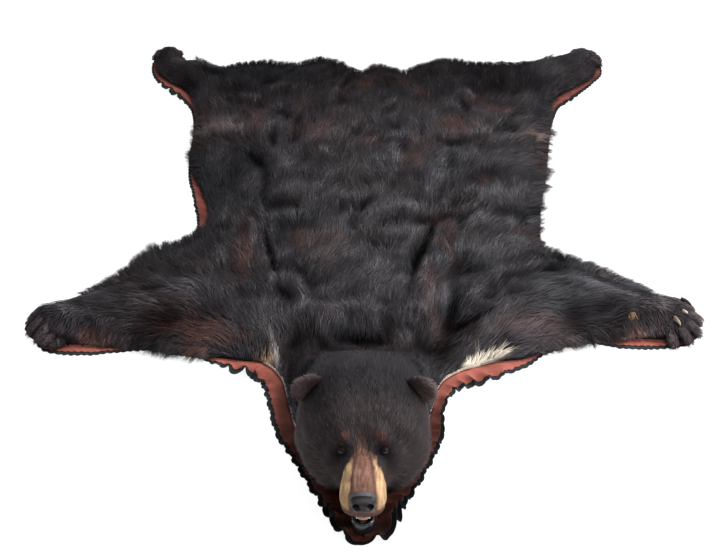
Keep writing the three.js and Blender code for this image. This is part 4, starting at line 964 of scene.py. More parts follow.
def grow_fringe():
    """Locks at the rim: they hang over the felts in front, lie flat at the sides and stand up at the rear.

    Each hair starts inside the edge, leans out and along the flow, and gathers towards the centre of its
    lock, where hair is longest. A share of stray hairs keeps to itself. The rear has more even hair."""
    edge = closed_curve(SKIN + BIB, steps=40)
    edge = edge[edge[:, ROW] <= len(SKIN) - 1.6]
    out = outward(edge[:, :2])
    out[0], out[-1] = out[1], out[-2]
    arc = np.concatenate([[0], np.cumsum(np.hypot(*np.diff(edge[:, :2], axis=0).T))])
    count = RIM_HAIRS
    where = np.sort(rng.uniform(arc[3], arc[-4], count))

    def column(values):
        """Values along the edge at the roots of the hairs."""
        return np.interp(where, arc, values)

    x, y, hair = column(edge[:, 0]), column(edge[:, 1]), column(edge[:, HAIR_PAST])
    normal = unit(np.column_stack([column(out[:, 0]), column(out[:, 1])]))
    gaps = np.random.default_rng(41).uniform(5, 14, 1200)
    centres = np.cumsum(gaps)
    # The nearest centre of a lock, its own random numbers and the width of the lock.
    number = np.clip(np.searchsorted(centres, where), 1, len(centres) - 1)
    number = number - (where - centres[number - 1] < centres[number] - where)
    own = np.random.default_rng(42).uniform(0, 1, (len(centres), 4))[number]
    centre = centres[number]
    cell = gaps[number]
    keep = (rng.uniform(0, 1, count) < np.clip((hair - 5) / 9, 0, 1)) & (paw_share(x, y) < 0.75)
    inside = rng.uniform(0, 32, count)
    along = np.column_stack([-normal[:, 1], normal[:, 0]])
    root = np.column_stack([x, y]) - normal * inside[:, None]
    flow = flow_at(root[:, 0], root[:, 1])
    frontal = smooth((-normal[:, 1] - 0.1) / 0.5)
    rear = smooth((normal[:, 1] - 0.1) / 0.5)
    flank = smooth((np.abs(normal[:, 0]) - 0.75) / 0.2)
    stray = rng.uniform(0, 1, count) < 0.2 + 0.2 * rear
    mostly_out = np.clip(0.08 + hair / 75 + 0.18 * frontal + 0.2 * flank, 0, 0.6)[:, None]
    direction = unit(normal * mostly_out + flow * (1 - mostly_out))
    turn = (own[:, 2] - 0.5) * 0.8 * (1 - 0.5 * rear)
    direction = turned(direction, turn + rng.normal(0, 0.06, count) * (1 + 3 * stray + rear))
    forward = np.clip((direction * normal).sum(axis=1), 0.3, 1)
    slow = noise(where, where * 0, 70, 70, 43)
    apart = np.clip(np.abs(centre - where) / (cell / 2), 0, 1.4)
    held_back = (0.45 - 0.35 * rear) * apart
    own_length = rng.uniform(0.3, 1.1, count)
    even = rng.uniform(0.82 - 0.25 * rear, 1.04 + 0.12 * rear, count)
    fine = np.where(stray, own_length, even * (1.12 - held_back))
    tufted = 0.85 - 0.65 * rear
    reach = hair * (0.60 + 0.30 * rear + tufted * own[:, 3] ** 1.6 + 0.25 * slow) * fine * (1 + 0.35 * flank)
    drawn = np.zeros(count)
    for tuft_x, tuft_y, more in TUFTS:
        near = np.exp(-((x - tuft_x) ** 2 + (y - tuft_y) ** 2) / 11.0**2)
        reach = reach + more * near**2 * rng.uniform(0.7, 1, count)
        drawn = drawn + ((tuft_x - x) * along[:, 0] + (tuft_y - y) * along[:, 1]) * near * 0.8
    long = (inside + reach) / forward
    held = np.where(stray, 0.1, 0.85 - 0.45 * rear)
    gather = (np.clip(centre - where, -8, 8) * held + drawn)[:, None] * along
    tip_z = PELT_BASE + 6 + rear * (10 + 5 * own[:, 0]) - frontal * 6.5
    tip_z = tip_z + rng.uniform(-1.5, 5, count) * (1 - 0.6 * frontal)
    tops = at(TOP, root[:, 0], root[:, 1])
    middle = root + direction * (long * 0.55)[:, None] + gather * 0.4
    tip = root + direction * long[:, None] + gather
    rise = (tops - 5, tip_z * 0.45 + (tops + 1) * 0.55, tip_z)
    spine = np.stack([np.column_stack(row) for row in zip((root, middle, tip), rise)], axis=1)
    # The locks take the painted light and shade of the coat from 45 mm inside the edge.
    within = root - normal * 45
    shade = thrice(at(SHADE, within[:, 0], within[:, 1]))
    lean = unit(spine[:, 2] - spine[:, 0])
    upright = unit(np.column_stack([normal * 0.12, np.ones(count)]))
    across = unit(np.cross(upright, lean))
    soft = unit(upright + rng.normal(0, 0.16, (count, 3)))
    own_tone = rng.uniform(0.7, 1.3, count) * (0.85 + 0.3 * own[:, 1])
    color = coat_color(root[:, 0], root[:, 1])[:, None, :] * (own_tone[:, None] * shade)[:, :, None]
    gleam = np.clip(0.24 * own_tone[:, None] * shade, 0, 1)
    puff = thrice(soft)
    width = 1.05 * rng.uniform(0.6, 1.3, count) * (1 - 0.15 * rear)
    pieces = [part[keep] for part in (spine, across, puff, color, width, gleam)]
    fringe = ribbons("rim_locks", *pieces, COAT, fade=(0.9, 1.0, 1.0))


grow_fringe()


def toes():
    """Twenty toes and their hair. A toe is an ellipse carried along its line, with a round end and a waist.

    Its crest runs in a straight line from the top of the coat to the far end. Its upper half bears hair."""
    points, faces, strands = [], [], []
    rows, sides = 22, 20
    for name, paw in PAWS.items():
        half, brightness = paw[6], 1.0 if "fore" in name else 0.5
        for toe in TOES:
            x, y, turn, reach = toe_place(name, toe)
            ahead = np.array([math.cos(turn), math.sin(turn)])
            beside = np.array([-ahead[1], ahead[0]])
            far = reach + 1
            near = far * 0.5
            big = half * (1.12 - 0.04 * abs(toe))
            t = np.linspace(0, 1, rows)[:, None]
            turns = angles(sides)[None, :]
            along = near + (far - near) * t
            round_end = np.sqrt(np.clip(1 - np.clip((t - 0.66) / 0.34, 0, 1) ** 2, 0.0004, 1))
            waist = 1 - 0.10 * np.exp(-(((t - 0.5) / 0.12) ** 2))
            body = round_end * (0.7 + 0.3 * smooth(t / 0.45)) * waist
            cx, cy = x + ahead[0] * along, y + ahead[1] * along
            start = float(at(TOP, cx[:1, 0], cy[:1, 0])[0]) - 3
            crest = np.interp(t, [0, 1], [start, PELT_BASE + big * 1.55])
            side, up = big * body * np.cos(turns), big * 0.95 * body * np.sin(turns)
            px, py = cx + beside[0] * side, cy + beside[1] * side
            pz = np.maximum(crest - big * 0.95 + up, PELT_BASE + 0.5)
            grid = np.stack([px, py, pz], axis=-1)
            faces.append(grid_faces(rows, sides, wrap=True) + rows * sides * len(points))
            points.append(grid.reshape(-1, 3))
            end_lean = (t > 0.6) * big / 13
            normal_x = beside[0] * side + ahead[0] * 6 * end_lean
            normal_y = beside[1] * side + ahead[1] * 6 * end_lean
            normals = unit(np.stack([normal_x, normal_y, up], axis=-1))
            r = rng.uniform(0.05, 0.985, TOE_HAIRS) * (rows - 1)
            c = rng.integers(0, sides, TOE_HAIRS)
            keep = np.sin(turns[0, c]) > -0.45
            r, c = r[keep], c[keep]
            i = r.astype(int)
            root = blended(grid[i, c], grid[i + 1, c], (r - i)[:, None])
            flow = unit(np.array([*ahead, -0.25]) + rng.normal(0, 0.16, root.shape))
            strands.append(np.column_stack([root, normals[i, c], flow, np.full(len(root), brightness)]))
    lumps = np.vstack(points)
    color = coat_color(lumps[:, 0], lumps[:, 1]) * 0.7
    pads = make_object("toes", lumps, np.vstack(faces), UNDERCOAT, color)
    strands = np.vstack(strands)
    root, n, flow = strands[:, :3], strands[:, 3:6], strands[:, 6:9]
    count = len(root)
    long = rng.uniform(6, 12, count)[:, None]
    middle, tip = root + (flow + n * 0.16) * long * 0.5, root + (flow + n * 0.02) * long
    spine = np.stack([root - n * 0.5, middle, tip], axis=1)
    spine[..., 2] = np.maximum(spine[..., 2], PELT_BASE)
    across = unit(np.cross(n, flow))
    soft = unit(n * 0.7 + [0, 0, 0.5] + rng.normal(0, 0.12, (count, 3)))
    tone = rng.uniform(0.45, 1.5, count)[:, None] * strands[:, 9:10]
    # Painted shade: hair on the lower sides of a toe is darker.
    tone = tone * (0.35 + 0.75 * smooth((n[:, 2:] + 0.1) / 0.8))
    color = thrice(FUR_BLACK * (5.4, 4.3, 3.9) * tone)
    gleam = thrice(np.clip(0.30 * tone[:, 0], 0, 1))
    hair = ribbons("toe_hair", spine, across, thrice(soft), color, np.full(count, 1.0), gleam, FACE)


toes()


def pelt_skin():
    """The undercoat: the ground of the coat as a sheet over the skin, with a wall down to the felt."""
    whole = closed_curve(SKIN + BIB, steps=6)
    loop = whole[whole[:, ROW] <= len(SKIN) - 1][:, :2]
    loop = np.vstack([loop, THROAT])
    spacing = 11.0
    gx, gy = np.meshgrid(np.arange(-830, 840, spacing), np.arange(-540, 1140, 9.5), indexing="ij")
    gx = gx + np.where(np.arange(gx.shape[1]) % 2, spacing / 2, 0)
    x, y = gx.ravel(), gy.ravel()
    keep = (at(INSET, x, y) > 6) & (at(INSIDE.astype(float), x, y) > 0.99)
    inner = np.column_stack([x[keep], y[keep]])
    xy, triangles = flat_fill(loop, inner)
    z = at(GROUND, xy[:, 0], xy[:, 1]) - 1
    rim = xy[: len(loop)]
    base = len(xy)
    points = np.vstack([np.column_stack([xy, z]), np.column_stack([rim, np.full(len(rim), PELT_BASE)])])
    a = np.arange(len(rim))
    b = (a + 1) % len(rim)
    wall = np.vstack([np.column_stack([a + base, b + base, b]), np.column_stack([a + base, b, a])])
    color = coat_color(points[:, 0], points[:, 1]) * 0.6
    skin = make_object("pelt_undercoat", points, np.vstack([triangles, wall]), UNDERCOAT, color)
    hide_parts("pelt")


pelt_skin()


def cut_edge():
    """The pale edge of the tanned skin where the hair stops short: a low rounded profile carried along it."""
    shown = np.where(((EDGE[:, ROW] <= 4.2) | (EDGE[:, ROW] >= len(SKIN) - 4.0)) & ON_SKIN)[0]
    groups = np.split(shown, np.where(np.diff(shown) > 1)[0] + 1)
    for k, group in enumerate(groups):
        xy, out = EDGE[group, :2], EDGE_OUT[group]
        profile = [(-3.0, 0.0), (-3.0, 4.6), (-1.4, 5.8), (0.2, 4.6), (0.4, 0.0)]
        rings = [np.column_stack([xy + out * off, np.full(len(xy), PELT_BASE + up)]) for off, up in profile]
        points = np.vstack(rings)
        wobble = 0.7 * noise(points[:, 0], points[:, 1], 12, 12, 51)
        points[:, 2] += np.abs(wobble)
        color = np.array(CUT_SKIN) * (1 + 0.2 * wobble)[:, None]
        quads = grid_faces(len(profile), len(xy))[:, ::-1]
        strip = make_object(f"cut_skin_edge_{k + 1}", points, quads, LEATHER, color)


cut_edge()


# Head
def spread(table, y):
    """Columns of a table of sections at new y, on cubic curves with slopes that follow from the rows."""
    key = -table[:, 0]
    at_y = -y
    out = []
    for column in range(1, table.shape[1]):
        values = table[:, column]
        slope = np.gradient(values, key)
        i = np.clip(np.searchsorted(key, at_y) - 1, 0, len(key) - 2)
        h = key[i + 1] - key[i]
        t = (at_y - key[i]) / h
        out.append((2 * t**3 - 3 * t**2 + 1) * values[i] + (t**3 - 2 * t**2 + t) * h * slope[i]
                   + (3 * t**2 - 2 * t**3) * values[i + 1] + (t**3 - t**2) * h * slope[i + 1])
    return out


# Swellings and hollows of the face: side (0 for both), x from the middle, y, z, radius, amount outwards.
FACE_FORMS = [
    (36, -686, 160, 16, 8.5), (42, -706, 146, 11, -4.5), (0, -694, 168, 16, -4.0), (0, -640, 196, 36, -3.0),
    (60, -640, 178, 36, 3.0), (100, -640, 70, 42, 6.0), (80, -690, 60, 30, 7.0), (22, -722, 140, 13, -2.0),
    (0, -752, 140, 20, 1.5), (46, -728, 112, 18, -6.0), (36, -770, 84, 18, 3.0), (26, -795, 84, 14, 3.5),
    (0, -800, 98, 9, -2.5), (66, -704, 112, 20, 5.0),
]


def head_surface(rows=112, sides=124):
    """Points of the head: rounded-square sections along y, closed by a quarter of an ellipse at the front.

    FACE_FORMS swell and hollow it along its normals as bell curves, and the cheeks are trimmed a little."""
    brow, closing = -690, 8
    back = np.linspace(HEAD[0, 0], brow, rows // 2)
    y = np.concatenate([back, np.linspace(brow - 0.5, HEAD[-1, 0], rows - rows // 2 - closing)])
    half, low, mid, top = spread(HEAD, y)
    end = np.linspace(0, 1, closing + 1)[1:]
    y = np.concatenate([y, HEAD[-1, 0] - 3.2 * np.sin(end * np.pi / 2)])
    close = np.sqrt(np.clip(1 - end**2, 0, 1)) * 0.98 + 0.001
    half = np.concatenate([half, half[-1] * close])
    middle = mid[-1]
    low = np.concatenate([low, middle + (low[-1] - middle) * close])
    top = np.concatenate([top, middle + (top[-1] - middle) * close])
    mid = np.concatenate([mid, np.full(closing, middle)])
    turn = angles(sides)
    power = 2 / (2.3 + 0.3 * smooth((-700 - y) / 30))[:, None]
    across = np.sign(np.cos(turn)) * np.abs(np.cos(turn)) ** power
    up = np.sign(np.sin(turn)) * np.abs(np.sin(turn)) ** power
    height = np.where(up > 0, (top - mid)[:, None], (mid - low)[:, None])
    lengthwise = np.broadcast_to(y[:, None], across.shape)
    points = np.stack([HEAD_X + across * half[:, None], lengthwise, mid[:, None] + up * height], axis=2)
    points[..., 2] = np.maximum(points[..., 2], PELT_BASE)
    normals = grid_normals(points)
    for side_x, fy, fz, radius, amount in FACE_FORMS:
        for side in ((1, -1) if side_x else (1,)):
            centre = np.array([HEAD_X + side * side_x, fy, fz])
            near = np.exp(-(np.linalg.norm(points - centre, axis=2) / radius) ** 2)
            points = points + normals * (near * amount)[..., None]
    off, along = points[..., 0] - HEAD_X, points[..., 1]
    trim = np.where(off < 0, 0.10, 0.04) * smooth((-585 - along) / 60) * smooth((along + 735) / 30)
    points[..., 0] -= off * trim * smooth((np.abs(off) - 48) / 40)
    lumps = noise(points[..., 0] + points[..., 2], points[..., 1], 30, 30, 61) * 1.2
    points = points + normals * (lumps * (points[..., 1] > brow))[..., None]
    points[..., 2] = np.maximum(points[..., 2], PELT_BASE)
    return points


def grid_normals(points):
    """Outward normals of a grid whose columns wrap round."""
    along = np.gradient(points, axis=0)
    around = np.roll(points, -1, 1) - np.roll(points, 1, 1)
    normals = unit(np.cross(along, around))
    middle = points.mean(axis=1, keepdims=True)
    facing = ((points - middle) * normals).sum(axis=2).mean()
    return normals if facing > 0 else -normals


def face_color(p):
    """Colour of the face by place: black coat, brown muzzle with golden sides, rusty brows, painted shade
    round the eyes and a painted grey-blue highlight below them.
    """
    x, y, z = np.abs(p[:, 0] - HEAD_X), p[:, 1], p[:, 2]
    grain = noise(p[:, 0], y, 4, 9, 71)
    color = np.tile(FACE_BLACK, (len(p), 1)) * (1 + 0.25 * noise(p[:, 0], y, 26, 26, 72))[:, None]

    def blend(share, tint):
        """Mix a colour in, with a share for each point."""
        nonlocal color
        color = blended(color, np.array(tint), np.clip(share, 0, 1)[:, None])

    blend(0.65 * smooth((150 - z) / 60), CHEEK_BROWN)
    crown = smooth((z - 140) / 40) * smooth((y + 650) / 60)
    blend(0.9 * crown, CROWN_BLACK)
    blend(smooth((y + 580) / 55), FUR_BLACK * 1.25)
    blend(0.7 * smooth((14 - x) / 8) * smooth((-676 - y + 3 * grain) / 14), BRIDGE_BROWN)
    ahead = smooth((-706 - y - 0.35 * (x - 14) + 5 * grain) / 22)
    top = smooth((26 + 0.25 * (-712 - y) - x) / 6)
    streak = noise(p[:, 0], y, 2.6, 15, 75)
    blend(ahead * top, MUZZLE_BROWN)
    blend(ahead * top * np.clip(0.30 + 0.4 * streak + 0.3 * grain, 0, 0.7), MUZZLE_LIGHT)
    blend(ahead * top * np.clip(-0.5 * streak + 0.3 * grain, 0, 0.7), MUZZLE_DARK)
    inner = np.interp(-y, [706, 730, 760, 800], [13, 18, 22, 25])
    outer = np.interp(-y, [706, 730, 760, 790], [21, 33, 60, 80])
    sides = smooth((x - inner + 2.5 * grain) / 4) * smooth((outer - x + 5 * grain + 3 * streak) / 8)
    sides = sides * smooth((-716 - y + 5 * grain) / 16)
    gold = (MUZZLE_GOLD * (1 + 0.32 * streak + 0.26 * grain)[:, None]).clip(0.02, 0.9)
    share = np.clip(sides * smooth((z - 66 + 6 * grain) / 14), 0, 1)[:, None] * 0.95
    color = blended(color, gold, share)
    blend(np.exp(-(((x - inner + 1) / 3.0) ** 2)) * smooth((-712 - y) / 10) * 0.65, MUZZLE_LINE)
    blend(smooth((x - 26) / 8) * smooth((82 - z) / 14) * smooth((-735 - y) / 14), MUZZLE_LOW)
    blend(smooth((-786 - y) / 10) * smooth((100 - z) / 12), LIP_BROWN)
    brow = np.exp(-(((x - 33) / 10) ** 2 + ((y + 692 + 0.25 * (x - 33)) / 6.0) ** 2)) * (z > 120)
    blend(brow * 0.75, BROW_RUST)
    # Painted shade in the deep sockets round the eyes.
    eye = np.exp(-(((x - 42) / 14) ** 2 + ((y + 707) / 9) ** 2))
    blend(eye * 0.95, EYE_SOCKET_SHADE)
    # Painted highlight: a grey-blue glint on the lower lids.
    lid = np.exp(-(((x - 36) / 9) ** 2 + ((y + 717) / 3.5) ** 2))
    blend(lid * 0.35, LID_GLINT_GREY)
    return color


def quad_areas(points, quads):
    """Areas of flat four-cornered faces: half the length of the cross product of their diagonals."""
    a, b, c, d = (points[quads[:, k]] for k in range(4))
    return np.linalg.norm(np.cross(c - a, d - b), axis=1) / 2


def scattered(points, quads, density, count):
    """Random places on faces. Returns the face of each, its share along the first side, and the place."""
    chosen = rng.choice(len(quads), count, p=density / density.sum())
    u, v = rng.uniform(0, 1, (2, count, 1))
    a, b, c, d = (points[quads[chosen, k]] for k in range(4))
    return chosen, u, blended(blended(a, b, u), blended(d, c, u), v)


def along_surface(directions, normal):
    """Unit directions with the part across the surface taken away."""
    return unit(directions - normal * (directions * normal).sum(axis=1, keepdims=True))


def head_pieces():
    """The head form with its short hair, which lies back from the nose and grows longer towards the neck."""
    grid = head_surface()
    rows, sides = grid.shape[:2]
    normals = grid_normals(grid)
    points = grid.reshape(-1, 3)
    quads = grid_faces(rows, sides, wrap=True)
    form = make_object("head_form", points, quads, UNDERCOAT, face_color(points) * 0.75)
    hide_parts("head")
    area = quad_areas(points, quads)
    middle = points[quads].sum(axis=1) / 4
    on_muzzle = smooth((-712 - middle[:, 1]) / 20)
    density = area * (1 + 2.2 * on_muzzle) * (middle[:, 2] > PELT_BASE + 6)
    mouth = (middle[:, 2] < 74) & (middle[:, 1] < -735) & (np.abs(middle[:, 0] - HEAD_X) < 30)
    density[mouth] = 0
    count = FACE_HAIRS
    chosen, u, root = scattered(points, quads, density, count)
    flat = normals.reshape(-1, 3)
    normal = unit(blended(flat[quads[chosen, 0]], flat[quads[chosen, 2]], u))
    muzzle = smooth((-706 - root[:, 1]) / 22)
    away = root - np.array([HEAD_X, -770, 96])
    away[:, 1] *= 1.25
    falling = -40 * (1 - muzzle) * smooth((110 - root[:, 2]) / 60)
    away = away + np.column_stack([np.zeros(count), 60 * muzzle, falling])
    flow = along_surface(away, normal)
    swirl = 0.35 * noise(root[:, 0] + root[:, 2], root[:, 1], 30, 30, 73) + rng.normal(0, 0.16, count)
    flow = unit(flow + np.cross(normal, flow) * swirl[:, None])
    tuft = clumps(root[:, 0] + 0.7 * root[:, 2], root[:, 1], 6.5, 74)
    length = (17 - 13.5 * muzzle) * rng.uniform(0.7, 1.25, count)
    crown = smooth((root[:, 1] + 600) / 90)
    cheek = smooth((110 - root[:, 2]) / 50) * (1 - muzzle)
    nape = smooth((root[:, 1] + 560) / 45)
    length = length * (1 + 0.9 * crown + 0.55 * cheek * (1 - nape) + 0.8 * nape)
    side = np.abs(root[:, 0] - HEAD_X)
    near_eye = np.exp(-(np.hypot((side - EYE_X) * 0.8, root[:, 1] + 709) / 13) ** 2)
    length = length * (1 - 0.42 * near_eye)
    lift = np.radians(26 - 12 * muzzle + 12 * crown + 6 * cheek - 20 * nape) * rng.uniform(0.6, 1.3, count)
    half = (length / 2)[:, None]

    def raised(angle):
        """The direction of the hair lifted off the face by an angle."""
        return flow * np.cos(angle)[:, None] + normal * np.sin(angle)[:, None]

    foot = root - normal * 0.5
    middle = foot + raised(lift) * half
    sag = np.array([0, 0, -0.35]) * cheek[:, None]
    tip = middle + (raised(lift * 0.3) + sag) * half
    spine = np.stack([foot, middle, tip], axis=1)
    spine[..., 2] = np.maximum(spine[..., 2], PELT_BASE + 0.5)
    beside = np.cross(normal, flow)
    across = unit(beside + normal * rng.normal(0, 0.2, count)[:, None])
    tuft_lean = ((tuft[:, 2] - 0.5) * 0.5)[:, None]
    soft = unit(normal + rng.normal(0, 0.12, (count, 3)) + unit(beside) * tuft_lean)
    own = rng.uniform(0.8, 1.2, count) * (0.88 + 0.24 * tuft[:, 3])
    # Painted shade on the lower cheeks, round the eyes and low on the head, and a painted highlight on the top
    # of the crown.
    shade = 1 - 0.2 * cheek * (1 - nape) - 0.55 * near_eye
    shade = shade * (1 + 0.15 * smooth((root[:, 2] - 150) / 40) * smooth((60 - side) / 50))
    shade = shade * (0.75 + 0.35 * smooth((root[:, 2] - 20) / 80))
    tint = face_color(root) * (own * shade)[:, None]
    # Painted highlight: a few hairs of the brow are made much lighter.
    glint_share = 0.09 * smooth((-600 - root[:, 1]) / 60) * (1 - muzzle) * smooth((root[:, 2] - 120) / 40)
    glinting = (rng.uniform(0, 1, count) < glint_share)[:, None]
    tint = np.where(glinting, tint * 2.0 + 0.016, tint)
    width = (0.92 - 0.3 * muzzle) * rng.uniform(0.7, 1.3, count)
    gleam = thrice(np.clip((0.15 + 0.05 * muzzle + 0.07 * nape) * own * shade, 0, 1))
    fade = (0.6, 1.0, 1.1)
    hair = ribbons("face_hair", spine, across, thrice(soft), thrice(tint), width, gleam, FACE, fade)


head_pieces()


def ear(side, name):
    """An ear: a flat ellipsoid dished as a paraboloid, with short hair behind and longer hair inside.

    Its hair runs away from its foot. The flap leans outwards, swings forwards and moves to its place."""
    rings, turns = 16, 64
    lean, swing = math.radians(side * 42), math.radians(-side * 24)
    radius, thick, cup = 31.0, 12.0, 6.5
    shift, back, level = (-114, -549, 169) if side < 0 else (119, -549, 164)
    # Painted light from the right: the right ear is made lighter than the left.
    brightness = 0.9 if side < 0 else 1.3

    def to_head(p):
        """Turn by the lean and then by the swing, and move to the head."""
        c, s = math.cos(lean), math.sin(lean)
        x, z = p[..., 0] * c + p[..., 2] * s, -p[..., 0] * s + p[..., 2] * c
        y = p[..., 1]
        c, s = math.cos(swing), math.sin(swing)
        return np.stack([x * c - y * s + HEAD_X + shift, x * s + y * c + back, z + level], axis=-1)

    t = np.linspace(-1, 1, rings)[:, None]
    turn = angles(turns)[None, :]
    share = np.sqrt(np.clip(1 - t**2, 0.0009, 1))
    flap_x = radius * 0.9 * share * np.cos(turn)
    flap_z = radius * 1.05 * share * np.sin(turn)
    dish = cup * (flap_x**2 + flap_z**2) / radius**2
    flap_y = np.broadcast_to(thick * t / 1.6, flap_x.shape) - dish
    points = to_head(np.stack([flap_x, flap_y, flap_z], axis=-1))
    normals = grid_normals(points)
    flat, flat_normals = points.reshape(-1, 3), normals.reshape(-1, 3)
    rim = np.broadcast_to(np.exp(-((t / 0.4) ** 2)), flap_x.shape).reshape(-1)
    inner = np.broadcast_to(t < 0, flap_x.shape).reshape(-1)
    # Painted light: the ear is coloured much lighter than the face, most inside and at the rim, for light that
    # its faces hardly catch.
    color = np.where(inner[:, None], FACE_BLACK * (4.0, 3.4, 3.2), FACE_BLACK * 2.2)
    color = blended(color, EAR_RIM_LIT, rim[:, None] * 0.8)
    quads = grid_faces(rings, turns, wrap=True)
    flap = make_object(name, flat, quads, UNDERCOAT, color * 0.8)
    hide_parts(name.replace("_flap", ""))
    count = EAR_HAIRS
    chosen, _, root = scattered(flat, quads, quad_areas(flat, quads), count)
    corner = quads[chosen, 0]
    normal = flat_normals[corner]
    within = inner[corner]
    foot = np.array([HEAD_X + side * 78, -560, 148])
    flow = along_surface(root - foot, normal)
    flow = unit(flow + rng.normal(0, 0.18, (count, 3)))
    length = np.where(within, rng.uniform(7, 13, count), rng.uniform(5, 9, count))[:, None]
    up = np.where(within, 0.5, 0.35)[:, None]
    middle = root + (flow + normal * up) * length * 0.5
    tip = root + (flow + normal * up * 0.8) * length
    spine = np.stack([root, middle, tip], axis=1)
    facing = unit(normal * 0.35 + [0, 0.1, 0.9])
    across = unit(np.cross(facing, flow))
    soft = unit(normal * 0.35 + [0, 0.15, 0.85] + rng.normal(0, 0.15, (count, 3)))
    own = rng.uniform(0.7, 1.35, count)[:, None]
    # Painted shade in the hollow of the ear.
    hollow = to_head(np.array([-side * 8.0, -10.0, -4.0]))
    deep = np.exp(-(np.linalg.norm(root - hollow, axis=1) / 15) ** 2)
    tint = color[corner] * own * (1 - 0.35 * deep)[:, None] * brightness
    gleam = thrice(np.clip(0.20 * own[:, 0], 0, 1))
    width, fade = np.full(count, 1.1), (0.8, 1.0, 1.2)
    hair = ribbons(name + "_hair", spine, across, thrice(soft), thrice(tint), width, gleam, FACE, fade)


ear(-1, "ear_left_flap")
ear(1, "ear_right_flap")


def eyes():
    """Dark glass eyes, almost closed: over each ball lie two lids, sheets a little outside the glass.

    A lid is part of a sphere, from the gap, which is half an ellipse, up or down to behind the ball. Its
    first row is folded in to the glass and its edge is a little thicker."""
    glass = Nodes("eye_glass", base_color=(*EYE_GLASS, 1), roughness=0.10, specular_ior_level=0.16).material
    lid_skin = skin_material("lid_skin", 0.7, 0.06, 900.0, 0.0003)
    ball_size, rings, sides, rows, columns = 8.2, 25, 40, 14, 41
    # The lower lid's grey-blue edge is a painted highlight.
    lids = ((1, 1.2, 1.2, 0.2, UPPER_LID), (-1, 1.1, 1.0, 0.5, LOWER_LID_GLINT))
    for side, name in ((-1, "eye_left"), (1, "eye_right")):
        u, v = np.meshgrid(np.linspace(0, np.pi, rings), angles(sides), indexing="ij")
        ball = np.stack([np.sin(u) * np.cos(v), np.cos(u), np.sin(u) * np.sin(v)], axis=-1) * ball_size
        look = np.array([side * 0.28, -0.72, 0.64])
        centre = np.array([HEAD_X + side * EYE_X, EYE_Y, EYE_Z]) - look * 1.6
        quads = grid_faces(rings, sides, wrap=True)
        thing = make_object(name + "_ball", (ball + centre).reshape(-1, 3), quads, glass)
        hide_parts(name)
        ahead = unit(look)
        right = unit(np.cross(ahead, [0, 0, 1]))
        up = np.cross(right, ahead)
        turn = np.linspace(-1.35, 1.35, columns)[None, :]
        gap = 0.34 * np.sqrt(np.clip(1 - (turn / 0.95) ** 2, 0, 1))
        sheets, colors = [], []
        for way, far, thick, edge, tint in lids:
            share = np.concatenate([[0, 0], np.linspace(0, 1, rows - 2)])[:, None]
            depth = np.concatenate([[-1.0], np.full(rows - 1, thick)])[:, None]
            depth = depth + np.exp(-((share / 0.14) ** 2)) * (depth > 0) * edge
            lift = way * (gap + (far - gap) * share) - 0.06
            radius = ball_size + depth
            sideways = right * (radius * np.sin(turn) * np.cos(lift))[..., None]
            upwards = up * (radius * np.sin(lift))[..., None]
            forwards = ahead * (radius * np.cos(turn) * np.cos(lift))[..., None]
            sheets.append((sideways + upwards + forwards + centre).reshape(-1, 3))
            fading = np.exp(-((share / 0.3) ** 2)) * np.exp(-((turn / 0.6) ** 2))
            colors.append((LID_BLACK + (tint - LID_BLACK) * fading[..., None]).reshape(-1, 3))
        quads = grid_faces(rows, columns)
        quads = np.vstack([quads, quads + rows * columns])
        lid_pair = make_object(name + "_lids", np.vstack(sheets), quads, lid_skin, np.vstack(colors))


eyes()


